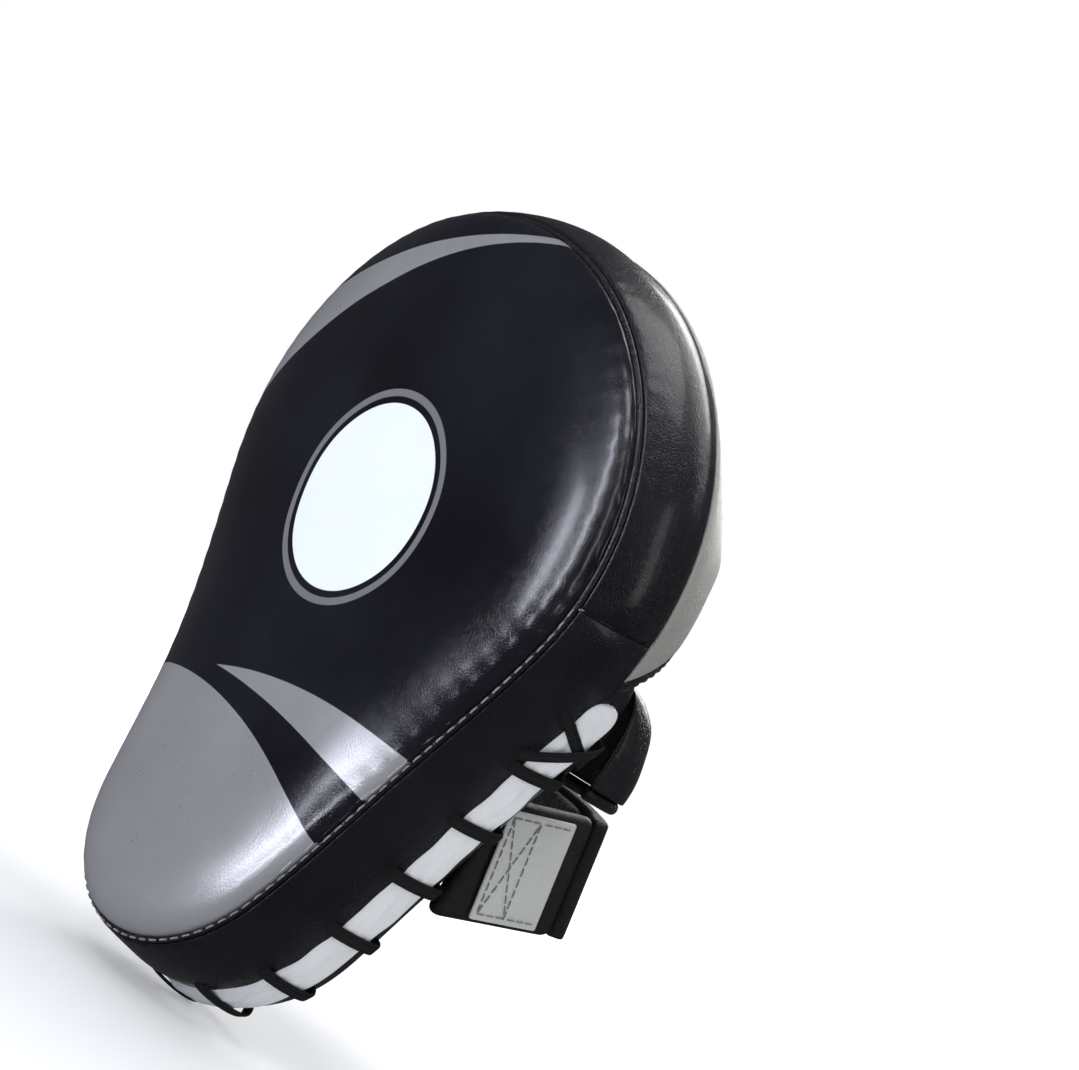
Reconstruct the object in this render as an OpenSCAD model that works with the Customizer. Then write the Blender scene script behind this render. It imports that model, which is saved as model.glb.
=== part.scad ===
// Curved boxing focus mitt for the right hand, worn upright.
// +X is to the right as the striking face is seen, +Y points to the hand side, +Z to the fingertips.
// Soft parts are laid out in pad coordinates [u, v, w]: u across, v along the curve from the wrist
// end, w deep from the face seam towards the hand. place() bends them to the curve of the face.

/* [Pad] */
// Length of the pad along its curve
pad_len = 290; // [280:1:300]
// Width across the finger end
head_w = 229; // [220:1:236]
// Distance from the widest line to the finger end
head_rise = 97; // [92:1:102]
// Angle between each flank and the long axis
flank_angle = 22.8; // [22:0.1:23.6]
// How far the waist pulls in from a straight flank
waist = 2.5; // [0:0.5:4]
// Radius that the striking face is curved to, lengthwise
bend_r = 650; // [560:10:900]
// How far the face stands proud of its seam
crown = 12; // [10:1:14]
// Width of the rolled edge of the face
edge_roll = 26; // [20:1:30]
// Thickness of the leather
skin_t = 1.6; // [1.2:0.1:1.8]

/* [Side wall] */
// Depth of the side wall round the finger end
upper_wall = 35; // [34:0.5:36]
// Depth of the side wall round the wrist end
lower_wall = 38; // [37.5:0.5:38]
// How far the upper side wall bulges
upper_bulge = 3.5; // [1:0.5:4]
// How far the lower side wall bulges
lower_bulge = 1.5; // [0:0.5:2]
// Height on the pad of the seam between the upper and lower side walls
wall_seam_v = 178; // [174:1:182]

/* [Lacing] */
// Width of the white lacing strip
strip_w = 15.5; // [14:0.5:16]
// Distance between two turns of lace
lace_pitch = 27.5; // [26:0.5:28]
// Width of the flat lace
lace_w = 4.8; // [4:0.2:6]
// Thickness of the flat lace
lace_t = 1.2; // [0.8:0.1:1.2]

/* [Hand side] */
// Depth of the padded palm area
palm_w = 61; // [60:1:61]
// Depth of the floor of the finger pocket
floor_w = 32; // [31:0.5:32]
// Rise of the finger hood at its mouth
hood_rise = 62; // [58:1:64]
// Half angle of the mesh window, round the arch of the hood
window_angle = 60; // [50:1:64]
// Thickness of the hood leather
hood_t = 2; // [1.8:0.1:2]
// Width of the rolled binding round the mouth of the hood
binding_d = 7; // [6:0.5:7]

/* [Thumb pocket] */
// Half width of the thumb pocket at its mouth
thumb_half = 17; // [15:0.5:18]
// Rise of the thumb pocket at its mouth
thumb_rise = 28; // [24:1:30]

/* [Wrist strap] */
// Width of the strap
strap_w = 47; // [44:1:48]
// Thickness of the strap
strap_t = 5; // [4:0.5:5]
// Depth of the strap's corners
strap_depth = 114; // [110:1:116]
// Lean of the strap's corners
strap_lean = 11.5; // [9:0.5:13]
// Rise of the strap over the back of the hand
span_rise = 14; // [10:1:18]
// Half distance between the cuff walls, to their middle
cuff_u = 58; // [56:1:60]
// Thickness of the cuff walls
cuff_t = 8; // [6:0.5:8]

/* [Hidden] */
$fn = 64;
gap = 0.3;

// The hand pocket's mouth is the origin
mouth_v = 205;
mouth_w = 72;
mouth_a = (mouth_v - pad_len / 2) / bend_r * 180 / PI;
origin_y = (bend_r + mouth_w) * cos(mouth_a) - bend_r;
origin_z = (bend_r + mouth_w) * sin(mouth_a);

function place(q) =
    let (a = (q[1] - pad_len / 2) / bend_r * 180 / PI, r = bend_r + q[2])
    [q[0], r * cos(a) - bend_r - origin_y, r * sin(a) - origin_z];

// Outline: an ellipse at the finger end, two flanks, and a round wrist end that touches both
head_v = pad_len - head_rise;
head_a = head_w / 2;
tangent_a = atan(tan(flank_angle) * head_rise / head_a);
flank_top = [head_a * cos(tangent_a), head_v - head_rise * sin(tangent_a)];
wrist_r = (flank_top[0] * cos(flank_angle) - flank_top[1] * sin(flank_angle)) / (1 - sin(flank_angle));
flank_foot = [wrist_r * cos(flank_angle), wrist_r * (1 - sin(flank_angle))];
flank_len = norm(flank_top - flank_foot);
wrist_arc = wrist_r * (90 - flank_angle) * PI / 180;
seam_angle = acos((wall_seam_v - head_v) / head_rise);

// Points of the outline, each [u, v, outward u, outward v]
function head_at(a) =
    let (n = [sin(a) / head_a, cos(a) / head_rise])
    concat([head_a * sin(a), head_v + head_rise * cos(a)], n / norm(n));
function flank_at(x) =
    let (n = [cos(flank_angle), -sin(flank_angle)])
    concat(flank_top + (flank_foot - flank_top) * x - n * waist * pow(sin(180 * x), 2), n);
function wrist_at(b) = [wrist_r * cos(b), wrist_r * (1 - sin(b)), cos(b), -sin(b)];
function mirrored(q) = [-q[0], q[1], -q[2], q[3]];

head_steps = 11;
right_rim = concat(
    [for (i = [0 : head_steps]) head_at(seam_angle * i / head_steps)],
    [head_at(seam_angle + gap), head_at((seam_angle + 90 + tangent_a) / 2)],
    [for (i = [0 : 6]) flank_at(i / 6)],
    [for (i = [1 : 6]) wrist_at(flank_angle + (90 - flank_angle) * i / 6)]
);
half_count = len(right_rim);
rim = concat(right_rim, [for (i = [half_count - 2 : -1 : 1]) mirrored(right_rim[i])]);
count = len(rim);
lower_first = head_steps + 1;

// Half width of the finger end at height v
function head_half(v) = head_a * sqrt(max(0, 1 - pow((v - head_v) / head_rise, 2)));
function smooth(x) = let (t = min(1, max(0, x))) t * t * (3 - 2 * t);
// Quarter ellipse from 0 at the edge to 1 at distance 1
function roll(x) = sqrt(1 - pow(1 - min(1, max(0, x)), 2));

// A closed ring at a distance in from the outline, at one depth
function ring_in(e, w) = [for (q = rim) [q[0] - e * q[2], q[1] - e * q[3], w]];
// The same ring shrunk towards the middle of the pad
function ring_to(e, s, w) =
    [for (q = rim) [s * (q[0] - e * q[2]), hub_v + s * (q[1] - e * q[3] - hub_v), w]];
hub_v = 165;

function mean(list) = [for (k = [0 : 2]) [for (q = list) q[k]] * [for (q = list) 1] / len(list)];
function signed_volume(points, faces) =
    [for (f = faces) cross(points[f[0]], points[f[1]]) * points[f[2]]] * [for (f = faces) 1];
function turned(faces) = [for (f = faces) [f[2], f[1], f[0]]];

// A solid skinned over sections that all have the same number of points. Thin sections, out along one
// side and back along the other, are closed at their ends by a ladder, and round ones by a fan.
function quad(a, b, c, d) = [[a, b, c], [a, c, d]];
module skin(sections, loop = false, thin = false) {
    rows = len(sections);
    ring = len(sections[0]);
    last = (rows - 1) * ring;
    sides = [
        for (i = [0 : rows - (loop ? 1 : 2)])
            for (j = [0 : ring - 1])
                let (
                    k = (i + 1) % rows,
                    m = (j + 1) % ring
                )
                each quad(i * ring + j, i * ring + m, k * ring + m, k * ring + j)
    ];
    ladders = [
        for (i = [0 : ring / 2 - 2])
            each concat(
                quad(ring - 1 - i, ring - 2 - i, i + 1, i),
                quad(last + i, last + i + 1, last + ring - 2 - i, last + ring - 1 - i)
            )
    ];
    fans = [
        for (j = [0 : ring - 1])
            each [
                [rows * ring, (j + 1) % ring, j],
                [rows * ring + 1, last + j, last + (j + 1) % ring]
            ]
    ];
    caps = loop || thin ? [] : [mean(sections[0]), mean(sections[rows - 1])];
    points = [for (q = concat([for (s = sections) each s], caps)) place(q)];
    faces = concat(sides, loop ? [] : thin ? ladders : fans);
    polyhedron(points, signed_volume(points, faces) > 0 ? turned(faces) : faces);
}

// Rings of the crowned face, from its middle to its edge, sunk by a skin's thickness
face_edge = 1.5;
function face_rings(sink) =
    concat(
        [for (s = [0.12, 0.4, 0.7]) ring_to(edge_roll + 6, s, sink - crown - 2 * (1 - s * s))],
        [for (e = [1, 0.7, 0.45, 0.25, 0.1, 0])
            ring_in(e * (edge_roll - sink) + sink, min(-face_edge, sink - crown * roll(e)))]
    );

module face_panel()
    color([0.05, 0.05, 0.09])
        skin(concat(face_rings(0), [for (r = [len(face_rings(skin_t)) - 1 : -1 : 0]) face_rings(skin_t)[r]]));

// Foam under the face, flat at its back
foam_inset = 3.2;
front_foam_w = 10;
module impact_foam()
    color([0.85, 0.82, 0.7])
        skin(concat(
            face_rings(foam_inset),
            [for (s = [1 : -0.25 : 0.25]) ring_to(foam_inset, s, front_foam_w)]
        ));

// Layers lie a little apart, because their faces are flat between rings
layer_gap = 0.6;
module foam_slab(e, w0, w1)
    skin(concat(
        [for (s = [0.25 : 0.25 : 1]) ring_to(e, s, w0)],
        [for (s = [1 : -0.25 : 0.25]) ring_to(e, s, w1)]
    ));

core_foam_w = 20;
module core_foam()
    color([0.3, 0.32, 0.36])
        foam_slab(foam_inset, front_foam_w + layer_gap, core_foam_w);

rear_foam_w = 28;
lace_room = 5.4;
module rear_foam()
    color([0.8, 0.78, 0.7])
        foam_slab(lace_room, core_foam_w + layer_gap, rear_foam_w);

welt_r = 1.1;
module seam_welt()
    color([0.03, 0.03, 0.04])
        skin([for (q = rim) [for (a = [0 : 60 : 300])
            [q[0] + (welt_r * cos(a) - 0.6) * q[2], q[1] + (welt_r * cos(a) - 0.6) * q[3], welt_r * sin(a)]]],
            loop = true);

// Cross-section of a side wall at one outline point: bulging, its rear edge cut on the slant
function wall_section(q, depth, bulge, belly) =
    let (
        outer = [for (f = [0, 0.12, 0.3, 0.55, 0.8, 1])
            let (w = face_edge + (depth - gap - face_edge) * f)
            [bulge * sin(180 * min(1, w / belly)), w]],
        inner = [for (i = [5 : -1 : 0]) [outer[i][0] - skin_t, outer[i][1] - (i == 5 ? hood_t : 0)]]
    )
    [for (p = concat(outer, inner)) [q[0] + p[0] * q[2], q[1] + p[0] * q[3], p[1]]];

module upper_gusset()
    color([0.07, 0.07, 0.1])
        skin([for (i = [-head_steps : head_steps])
            wall_section(rim[(i + count) % count], upper_wall, upper_bulge, upper_wall)], thin = true);

// The lower wall is as deep as the upper one under the legs of the hood
module lower_gusset()
    color([0.07, 0.07, 0.1])
        skin([for (i = [lower_first : count - lower_first])
            wall_section(rim[i], i < lower_first + 3 || i > count - lower_first - 3 ? upper_wall : lower_wall,
                lower_bulge + (upper_bulge - lower_bulge) * smooth((rim[i][1] - 140) / 40), 32)],
            thin = true);

// Depth of the hand side: padded at the palm, low under the fingers
function hand_w(v) = floor_w + (palm_w - floor_w) * smooth((198 - v) / 46);
back_edge_low = 29.4;
function hooded(v) = smooth((v - 140) / 18);
function back_point(q, e, f, sink) =
    let (
        h = hooded(q[1]),
        d = -(e + sink + 3.8 * h),
        w0 = lower_wall + gap + (back_edge_low - lower_wall - gap) * h,
        v = q[1] + d * q[3]
    )
    [q[0] + d * q[2], v, w0 + (hand_w(v) - w0 - sink) * f];
function back_ring(e, f, sink) = [for (q = rim) back_point(q, e, f, sink)];
function back_hub(s, sink) =
    [for (q = rim)
        let (p = back_point(q, 34, 1, sink), v = hub_v + s * (p[1] - hub_v))
        [s * p[0], v, hand_w(v) - sink]];
function back_rings(sink) =
    concat(
        [for (e = [0, 1, 4, 9, 16]) back_ring(e, roll(e / 16 + 0.02), sink)],
        [back_ring(34, 1, sink)],
        [for (s = [0.7, 0.4, 0.1]) back_hub(s, sink)]
    );

module back_panel()
    color([0.05, 0.05, 0.07])
        skin(concat(
            [for (i = [8 : -1 : 0]) back_rings(0)[i]],
            back_rings(skin_t)
        ));

// Filling of the palm area, between the rear foam and the back panel
filling_w = rear_foam_w + layer_gap;
function raised(points) = [for (p = points) [p[0], p[1], max(filling_w + gap, p[2])]];
function filling_ring(e, f) = raised(back_ring(e, f, skin_t + layer_gap));
function filling_top(s) = raised(back_hub(s, skin_t + layer_gap));
function filling_base(s) =
    [for (q = back_ring(lace_room, 0, 0)) [s * q[0], hub_v + s * (q[1] - hub_v), filling_w]];
module back_foam()
    color([0.86, 0.83, 0.74])
        skin(concat(
            [for (s = [0.25 : 0.25 : 1]) filling_base(s)],
            [
                filling_ring(lace_room, 0.4), filling_ring(lace_room + 5, 0.8),
                filling_ring(lace_room + 13, 1), filling_ring(34, 1),
                filling_top(0.7), filling_top(0.4), filling_top(0.1)
            ]
        ));

// A low stuffed grip that the palm closes on
grip_v = 128;
grip_r = 24;
grip_rise = 11;
function lean_at(v) = (v - pad_len / 2) / bend_r * 180 / PI;
module palm_grip()
    color([0.06, 0.06, 0.08])
        translate(place([0, grip_v, palm_w + 2 * gap]))
            rotate([lean_at(grip_v), 0, 0])
                intersection() {
                    translate([0, grip_rise - (grip_r * grip_r + grip_rise * grip_rise) / (2 * grip_rise), 0])
                        sphere(r = (grip_r * grip_r + grip_rise * grip_rise) / (2 * grip_rise));
                    translate([-grip_r, 0, -grip_r])
                        cube([2 * grip_r, grip_rise + 1, 2 * grip_r]);
                }

// Outline of the lower edge at a signed distance from the middle of the wrist end
function low_side(s) =
    s <= wrist_arc
        ? wrist_at(90 - s / wrist_r * 180 / PI)
        : flank_at(1 - (s - wrist_arc) / flank_len);
function low_at(s) = s < 0 ? mirrored(low_side(-s)) : low_side(s);
function off(s, d, w) = let (q = low_at(s)) [q[0] + d * q[2], q[1] + d * q[3], w];

strip_w0 = 31;
strip_w1 = strip_w0 + strip_w;
strip_end = wrist_arc + flank_len - 4;
strip_t = 1.7;
strip_steps = 22;
// The strip's ends are rounded tabs
function tab(i) = let (x = abs(i) / strip_steps) x < 0.98 ? 0 : 4;
module lace_strip()
    color([0.96, 0.96, 0.95])
        skin([for (i = [-strip_steps : strip_steps])
            let (s = strip_end * i / strip_steps, r = tab(i), q0 = 0.5)
            [
                off(s, q0, strip_w0 + r), off(s, q0 + strip_t, strip_w0 + r + 0.5),
                off(s, q0 + strip_t + 0.3, (strip_w0 + strip_w1) / 2),
                off(s, q0 + strip_t, strip_w1 - r - 0.5), off(s, q0, strip_w1 - r)
            ]]);

// Lace: each turn comes out of the side wall, crosses the strip, goes in behind it and on to the next.
// A station is [distance along, out, deep, turn of the flat side]
turns = 6;
function lace_turn(s) = [
    [s, 0.6, 25.5, -55], [s, 2.8, 29.5, -20], [s + 1, 3.4, 39, 0], [s + 2, 2.8, 48, 20],
    [s + 2, 0.2, 50.8, 60], [s + 4, -3.8, 48, 150], [s + lace_pitch - 4, -3.8, 29, 210]
];
// At each end the lace comes out once more, and crosses itself over the tab
last_turn = turns * lace_pitch;
crossing = [
    [4, -3.8, 48, 150], [5.2, -3.8, 27, 210], [5.2, 0.6, 23, 305], [6, 2.9, 27, 340], [12, 4.4, 36, 360],
    [17, 4.6, 44, 375], [19, 2.8, 49, 395], [19.5, 0.2, 51, 430], [19, -3, 48.5, 510], [18.5, -3, 44, 535],
    [16, -3.7, 38.5, 540], [13.5, -4.4, 44, 540], [13, -4.2, 49, 570], [12.5, 0.2, 51.3, 640],
    [14, 2.8, 47.5, 690], [19, 3.2, 38, 720], [26, 2.8, 25, 740], [28, 0.4, 18.5, 775]
];
lace_path = concat(
    [for (i = [len(crossing) - 1 : -1 : 0]) let (p = crossing[i]) [-last_turn - p[0], p[1], p[2], p[3]]],
    [[-last_turn - 3, -3.8, 29, 210]],
    [for (i = [-turns : turns - 1]) each lace_turn(i * lace_pitch)],
    [for (k = [0 : 4]) lace_turn(last_turn)[k]],
    [for (p = crossing) [last_turn + p[0], p[1], p[2], p[3]]]
);
function lace_section(p) =
    let (
        q = low_at(p[0]),
        along = [-q[3], q[2], 0],
        n = [cos(p[3]) * q[2], cos(p[3]) * q[3], sin(p[3])],
        c = off(p[0], p[1], p[2])
    )
    [for (k = [[-1, -1], [1, -1], [1, 1], [-1, 1]]) c + along * k[0] * lace_w / 2 + n * k[1] * lace_t / 2];
module lacing()
    color([0.04, 0.04, 0.04])
        skin([for (p = lace_path) lace_section(p)]);

// Hood: arches across the finger end, lower towards the tip. a is the angle round the arch.
tip_a = 13;
tip_share = 0.06;
function to_tip(v) = max(0, (pad_len - v) / (pad_len - mouth_v));
function hood_h(v) = hood_rise * pow(min(1, to_tip(v) + tip_share), 2);
// The arch is flatter at its feet than a half ellipse
arch_power = 1.4;
function mouth_line(a) = 164 + (mouth_v - 164) * pow(sin(a), 1.3);
function arch(a) = pow(abs(sin(a)), arch_power);
function hood_at(a, v, sink) =
    [(head_half(v) - sink) * cos(a), v, upper_wall + hood_h(v) * arch(a) - sink * sqrt(abs(sin(a)))];
function hood_v(a, t) =
    head_v + head_rise * cos(acos((mouth_line(a) - head_v) / head_rise) * (1 - t) + tip_a * t);
// The window's edge, as a share of the way from the mouth to the tip
function window_t(a) = 0.46 * max(0, 1 - pow(abs(a - 90) / window_angle, 1.5));
hood_rows = 11;
hood_step = 7.5;
mesh_gap = 1.1;
padding_gap = 1.7;
function hood_strip(a, t0, t1, sink) =
    [for (i = [0 : hood_rows]) hood_at(a, hood_v(a, t0 + (t1 - t0) * i / hood_rows), sink)];
function hood_section(a, t0, t1, top, under) =
    concat(hood_strip(a, t0, t1, top),
        [for (i = [hood_rows : -1 : 0]) hood_strip(a, t0, t1, under)[i]]);

module finger_hood()
    color([0.8, 0.8, 0.77])
        skin([for (a = [0 : hood_step : 180]) hood_section(a, window_t(a), 1, 0, hood_t)], thin = true);

module hood_mesh()
    color([0.06, 0.06, 0.06])
        skin([for (a = [90 - window_angle : hood_step : 90 + window_angle])
            hood_section(a, 0, window_t(a) + 0.04, hood_t + mesh_gap, hood_t + mesh_gap + 1)], thin = true);

module hood_padding()
    color([0.2, 0.2, 0.22])
        skin([for (a = [3 * hood_step : hood_step : 180 - 3 * hood_step])
            hood_section(a, window_t(a) + 0.09, 0.6, hood_t + padding_gap, hood_t + padding_gap + 4)],
            thin = true);

binding_r = binding_d / 2;
module mouth_binding()
    color([0.03, 0.03, 0.03])
        skin([for (i = [0 : 20])
            let (a = 9 + 8.1 * i, c = hood_at(a, mouth_line(a) - binding_r - gap, hood_t / 2))
            [for (b = [0 : 60 : 300])
                [c[0] + 0.75 * binding_r * sin(b) * cos(a), c[1] + binding_r * cos(b),
                    c[2] + 0.75 * binding_r * sin(b) * sin(a)]]]);

// Thumb pocket: a half cone on the right of the palm, its mouth towards the wrist
thumb_v0 = 130;
thumb_v1 = 163;
thumb_u = 76;
thumb_w0 = palm_w + 1;
function thumb_at(a, x, sink) =
    let (half = thumb_half * (1 - 0.35 * x * x) - sink, rise = thumb_rise * (1 - 0.62 * x * x) - sink)
    [thumb_u + 4 * x + half * cos(a), thumb_v0 + (thumb_v1 - thumb_v0) * x, thumb_w0 + rise * sin(a)];
module thumb_pocket()
    color([0.05, 0.05, 0.06])
        skin(
            [
                for (a = [0 : 15 : 180]) concat(
                    [for (x = [0 : 0.25 : 1]) thumb_at(a, x, 0)],
                    [for (x = [1 : -0.25 : 0]) thumb_at(a, x, 2)]
                )
            ],
            thin = true
        );

module thumb_binding()
    color([0.03, 0.03, 0.03])
        skin([for (a = [0 : 15 : 180])
            let (c = thumb_at(a, 0, 1))
            [for (b = [0 : 60 : 300])
                [c[0] + 2.4 * sin(b) * cos(a), c[1] - 2.8 + 2.4 * cos(b), c[2] + 2.4 * sin(b) * sin(a)]]]);

// The strap's own frame: its corners run along z
module strap_frame()
    translate(place([0, strap_v, strap_depth]))
        rotate([strap_lean, 0, 0])
            children();
// Cuff walls stand on the palm area and lean with the strap. Each has a flange sewn down inside.
strap_v = 103;
corner_r = 4;
flange_w = 14;
flange_t = 2.4;
module cuff_wall() {
    intersection() {
        strap_frame()
            translate([cuff_u - cuff_t / 2, -strap_depth, -strap_w / 2])
                cube([cuff_t, strap_depth - corner_r - 2 * gap, strap_w]);
        on_palm()
            translate([0, 0, -2 * strap_w])
                cube([head_w, strap_depth, 4 * strap_w]);
    }
    on_palm()
        translate([cuff_u - cuff_t / 2 - flange_w, 0, -strap_w / 2])
            cube([flange_w + 1, flange_t, strap_w - 4]);
}
module on_palm()
    translate(place([0, strap_v, palm_w + 2 * gap]))
        rotate([lean_at(strap_v), 0, 0])
            children();
module cuff_right()
    color([0.06, 0.06, 0.07])
        cuff_wall();
module cuff_left()
    color([0.06, 0.06, 0.07])
        mirror([1, 0, 0])
            cuff_wall();

module patch(x0, x1, y0, y1, width)
    strap_frame()
        translate([x0, y0, -width / 2])
            cube([x1 - x0, y1 - y0, width]);

cuff_face = cuff_u + cuff_t / 2;
module strap_anchor()
    color([0.78, 0.78, 0.75])
        patch(cuff_face + gap, cuff_face + gap + 1.6, -46, -15, strap_w - 5);

loop_t = 1.5;
hook_t = 1.7;
module loop_patch()
    color([0.12, 0.12, 0.12])
        patch(-cuff_face - gap - loop_t, -cuff_face - gap, -40, -8, strap_w - 7);

hook_x = -cuff_face - loop_t - 2 * gap - hook_t;
tip_x = hook_x - gap - corner_r;
tip_end = -40;
module strap_tip()
    color([0.06, 0.06, 0.07])
        strap_frame()
            translate([0, 0, -strap_w / 2])
                linear_extrude(strap_w) {
                    translate([tip_x, 0])
                        circle(r = corner_r);
                    translate([tip_x - corner_r, tip_end])
                        square([corner_r, -tip_end]);
                }
module hook_patch()
    color([0.15, 0.15, 0.15])
        patch(tip_x + gap / 2, hook_x + hook_t, tip_end + 2, -9, strap_w - 7);
module tip_tab()
    color([0.78, 0.78, 0.75])
        patch(tip_x - corner_r - gap - 1.4, tip_x - corner_r - gap, tip_end, tip_end + 18, strap_w - 5);

// The span arches from the right corner to the left one
span_mid = (cuff_u + tip_x) / 2;
span_half = (cuff_u - tip_x) / 2;
span_r = (span_half * span_half + span_rise * span_rise) / (2 * span_rise);
module arch(r0, r1, x0, x1)
    intersection() {
        translate([span_mid, span_rise - span_r])
            difference() {
                circle(r = r1, $fn = 180);
                circle(r = r0, $fn = 180);
            }
        translate([x0, -strap_t])
            square([x1 - x0, span_rise + 3 * strap_t]);
    }
module strap_span()
    color([0.06, 0.06, 0.07])
        strap_frame()
            translate([0, 0, -strap_w / 2])
                linear_extrude(strap_w)
                    difference() {
                        union() {
                            arch(span_r - strap_t / 2, span_r + strap_t / 2, tip_x, cuff_u);
                            translate([cuff_u, 0])
                                circle(r = corner_r);
                        }
                        translate([tip_x, 0])
                            circle(r = corner_r + 2 * gap);
                    }
module span_lining()
    color([0.1, 0.1, 0.1])
        strap_frame()
            translate([0, 0, 2 - strap_w / 2])
                linear_extrude(strap_w - 4)
                    arch(span_r - strap_t / 2 - gap - 5, span_r - strap_t / 2 - gap, tip_x + 16, cuff_u - 14);

face_panel();
seam_welt();
upper_gusset();
lower_gusset();
impact_foam();
core_foam();
rear_foam();
back_foam();
back_panel();
palm_grip();
lace_strip();
lacing();
finger_hood();
hood_mesh();
hood_padding();
mouth_binding();
thumb_pocket();
thumb_binding();
cuff_right();
cuff_left();
strap_anchor();
loop_patch();
strap_span();
span_lining();
strap_tip();
hook_patch();
tip_tab();
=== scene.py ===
import math
import bmesh
import bpy
import numpy as np
from mathutils import Matrix, Vector


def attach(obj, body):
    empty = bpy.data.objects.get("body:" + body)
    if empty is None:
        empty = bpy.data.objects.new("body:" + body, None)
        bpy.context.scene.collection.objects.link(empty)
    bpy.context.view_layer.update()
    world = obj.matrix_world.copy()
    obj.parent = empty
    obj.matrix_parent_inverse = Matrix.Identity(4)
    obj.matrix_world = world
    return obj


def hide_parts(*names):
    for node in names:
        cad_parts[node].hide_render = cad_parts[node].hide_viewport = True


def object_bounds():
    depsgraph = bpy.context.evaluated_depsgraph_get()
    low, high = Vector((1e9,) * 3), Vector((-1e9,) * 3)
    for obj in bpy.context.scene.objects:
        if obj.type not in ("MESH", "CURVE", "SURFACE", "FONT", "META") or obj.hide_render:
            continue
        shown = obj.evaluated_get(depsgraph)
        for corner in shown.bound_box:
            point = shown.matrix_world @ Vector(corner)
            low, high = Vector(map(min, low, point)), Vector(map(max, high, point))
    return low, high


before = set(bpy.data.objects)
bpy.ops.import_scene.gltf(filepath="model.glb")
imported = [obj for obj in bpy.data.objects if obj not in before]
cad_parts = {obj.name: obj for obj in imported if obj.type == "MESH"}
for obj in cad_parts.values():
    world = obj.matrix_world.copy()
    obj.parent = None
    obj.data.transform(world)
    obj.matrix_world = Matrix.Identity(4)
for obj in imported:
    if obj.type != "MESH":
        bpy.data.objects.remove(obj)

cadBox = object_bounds()
scene = bpy.context.scene

# Everything soft is laid out in pad coordinates: u across, v along the curve from the wrist end,
# w deep from the face seam towards the hand. place() bends them into the frame. Metres.
pad = {"length": 0.290, "halfWidth": 0.1145, "rise": 0.097, "flank": math.radians(22.8), "waist": 0.0025,
       "bend": 0.650, "hubV": 0.165, "seamV": 0.178}
mouth = {"v": 0.205, "w": 0.072, "legV": 0.164}

headV = pad["length"] - pad["rise"]
mouthLean = (mouth["v"] - pad["length"] / 2) / pad["bend"]
originY = (pad["bend"] + mouth["w"]) * math.cos(mouthLean) - pad["bend"]
originZ = (pad["bend"] + mouth["w"]) * math.sin(mouthLean)


def place(u, v, w):
    # angle = distance along the face / bend radius; height above the bend's centre = radius + depth
    angle = (v - pad["length"] / 2) / pad["bend"]
    radius = pad["bend"] + w
    y = radius * np.cos(angle) - pad["bend"] - originY
    z = radius * np.sin(angle) - originZ
    return np.stack(np.broadcast_arrays(u, y, z), axis=-1)


def padOf(points):
    # the reverse of place(): angle and radius about the bend's centre
    y = points[..., 1] + originY + pad["bend"]
    z = points[..., 2] + originZ
    v = np.arctan2(z, y) * pad["bend"] + pad["length"] / 2
    return points[..., 0], v, np.hypot(y, z) - pad["bend"]


def ease(x):
    # 0 below 0, 1 above 1, 3x² - 2x³ between
    t = np.clip(x, 0, 1)
    return t * t * (3 - 2 * t)


def roundOff(x):
    # quarter circle: 0 at the edge, 1 at distance 1 and past it
    return np.sqrt(1 - (1 - np.clip(x, 0, 1)) ** 2)


def squared(x, power):
    # x to a power, with its sign kept, which makes a circle's outline squarer
    return np.sign(x) * abs(x) ** power


def unit(a):
    # each vector divided by its length
    return a / np.maximum(np.linalg.norm(a, axis=-1, keepdims=True), 1e-12)


def outline(count):
    # right half: ellipse, straight flank pulled in by a squared sine, wrist circle; mirrored, then
    # evened out by distance. Gives points and outward directions, from the finger tip clockwise.
    flank = pad["flank"]
    touch = math.atan(math.tan(flank) * pad["rise"] / pad["halfWidth"])
    a = np.linspace(0, math.pi / 2 + touch, 300)
    head = np.stack([pad["halfWidth"] * np.sin(a), headV + pad["rise"] * np.cos(a)], axis=1)
    top = head[-1]
    wristR = (top[0] * math.cos(flank) - top[1] * math.sin(flank)) / (1 - math.sin(flank))
    foot = np.array([wristR * math.cos(flank), wristR * (1 - math.sin(flank))])
    out = np.array([math.cos(flank), -math.sin(flank)])
    x = np.linspace(0, 1, 160)[1:, None]
    side = top + (foot - top) * x - out * pad["waist"] * np.sin(math.pi * x) ** 2
    b = np.linspace(flank, math.pi / 2, 160)[1:]
    wrist = np.stack([wristR * np.cos(b), wristR * (1 - np.sin(b))], axis=1)
    right = np.concatenate([head, side, wrist])
    loop = np.concatenate([right, right[-2::-1] * [-1, 1]])
    far = np.concatenate([[0], np.cumsum(np.hypot(*np.diff(loop, axis=0).T))])
    s = np.arange(count) * far[-1] / count
    points = np.stack([np.interp(s, far, loop[:, k]) for k in (0, 1)], axis=1)
    run = unit(np.roll(points, -1, axis=0) - np.roll(points, 1, axis=0))
    return points, np.stack([-run[:, 1], run[:, 0]], axis=1), far[-1]


rimPoints, rimOut, rimLength = outline(1200)
rimHalf = rimLength / 2


def rimAt(s):
    # the outline at distance s from the finger tip, right side positive; wraps round
    where = np.mod(s, rimLength) / rimLength * len(rimPoints)
    low = np.floor(where).astype(int) % len(rimPoints)
    high = (low + 1) % len(rimPoints)
    part = (where - np.floor(where))[..., None]
    return (rimPoints[low] * (1 - part) + rimPoints[high] * part,
            unit(rimOut[low] * (1 - part) + rimOut[high] * part))


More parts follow.
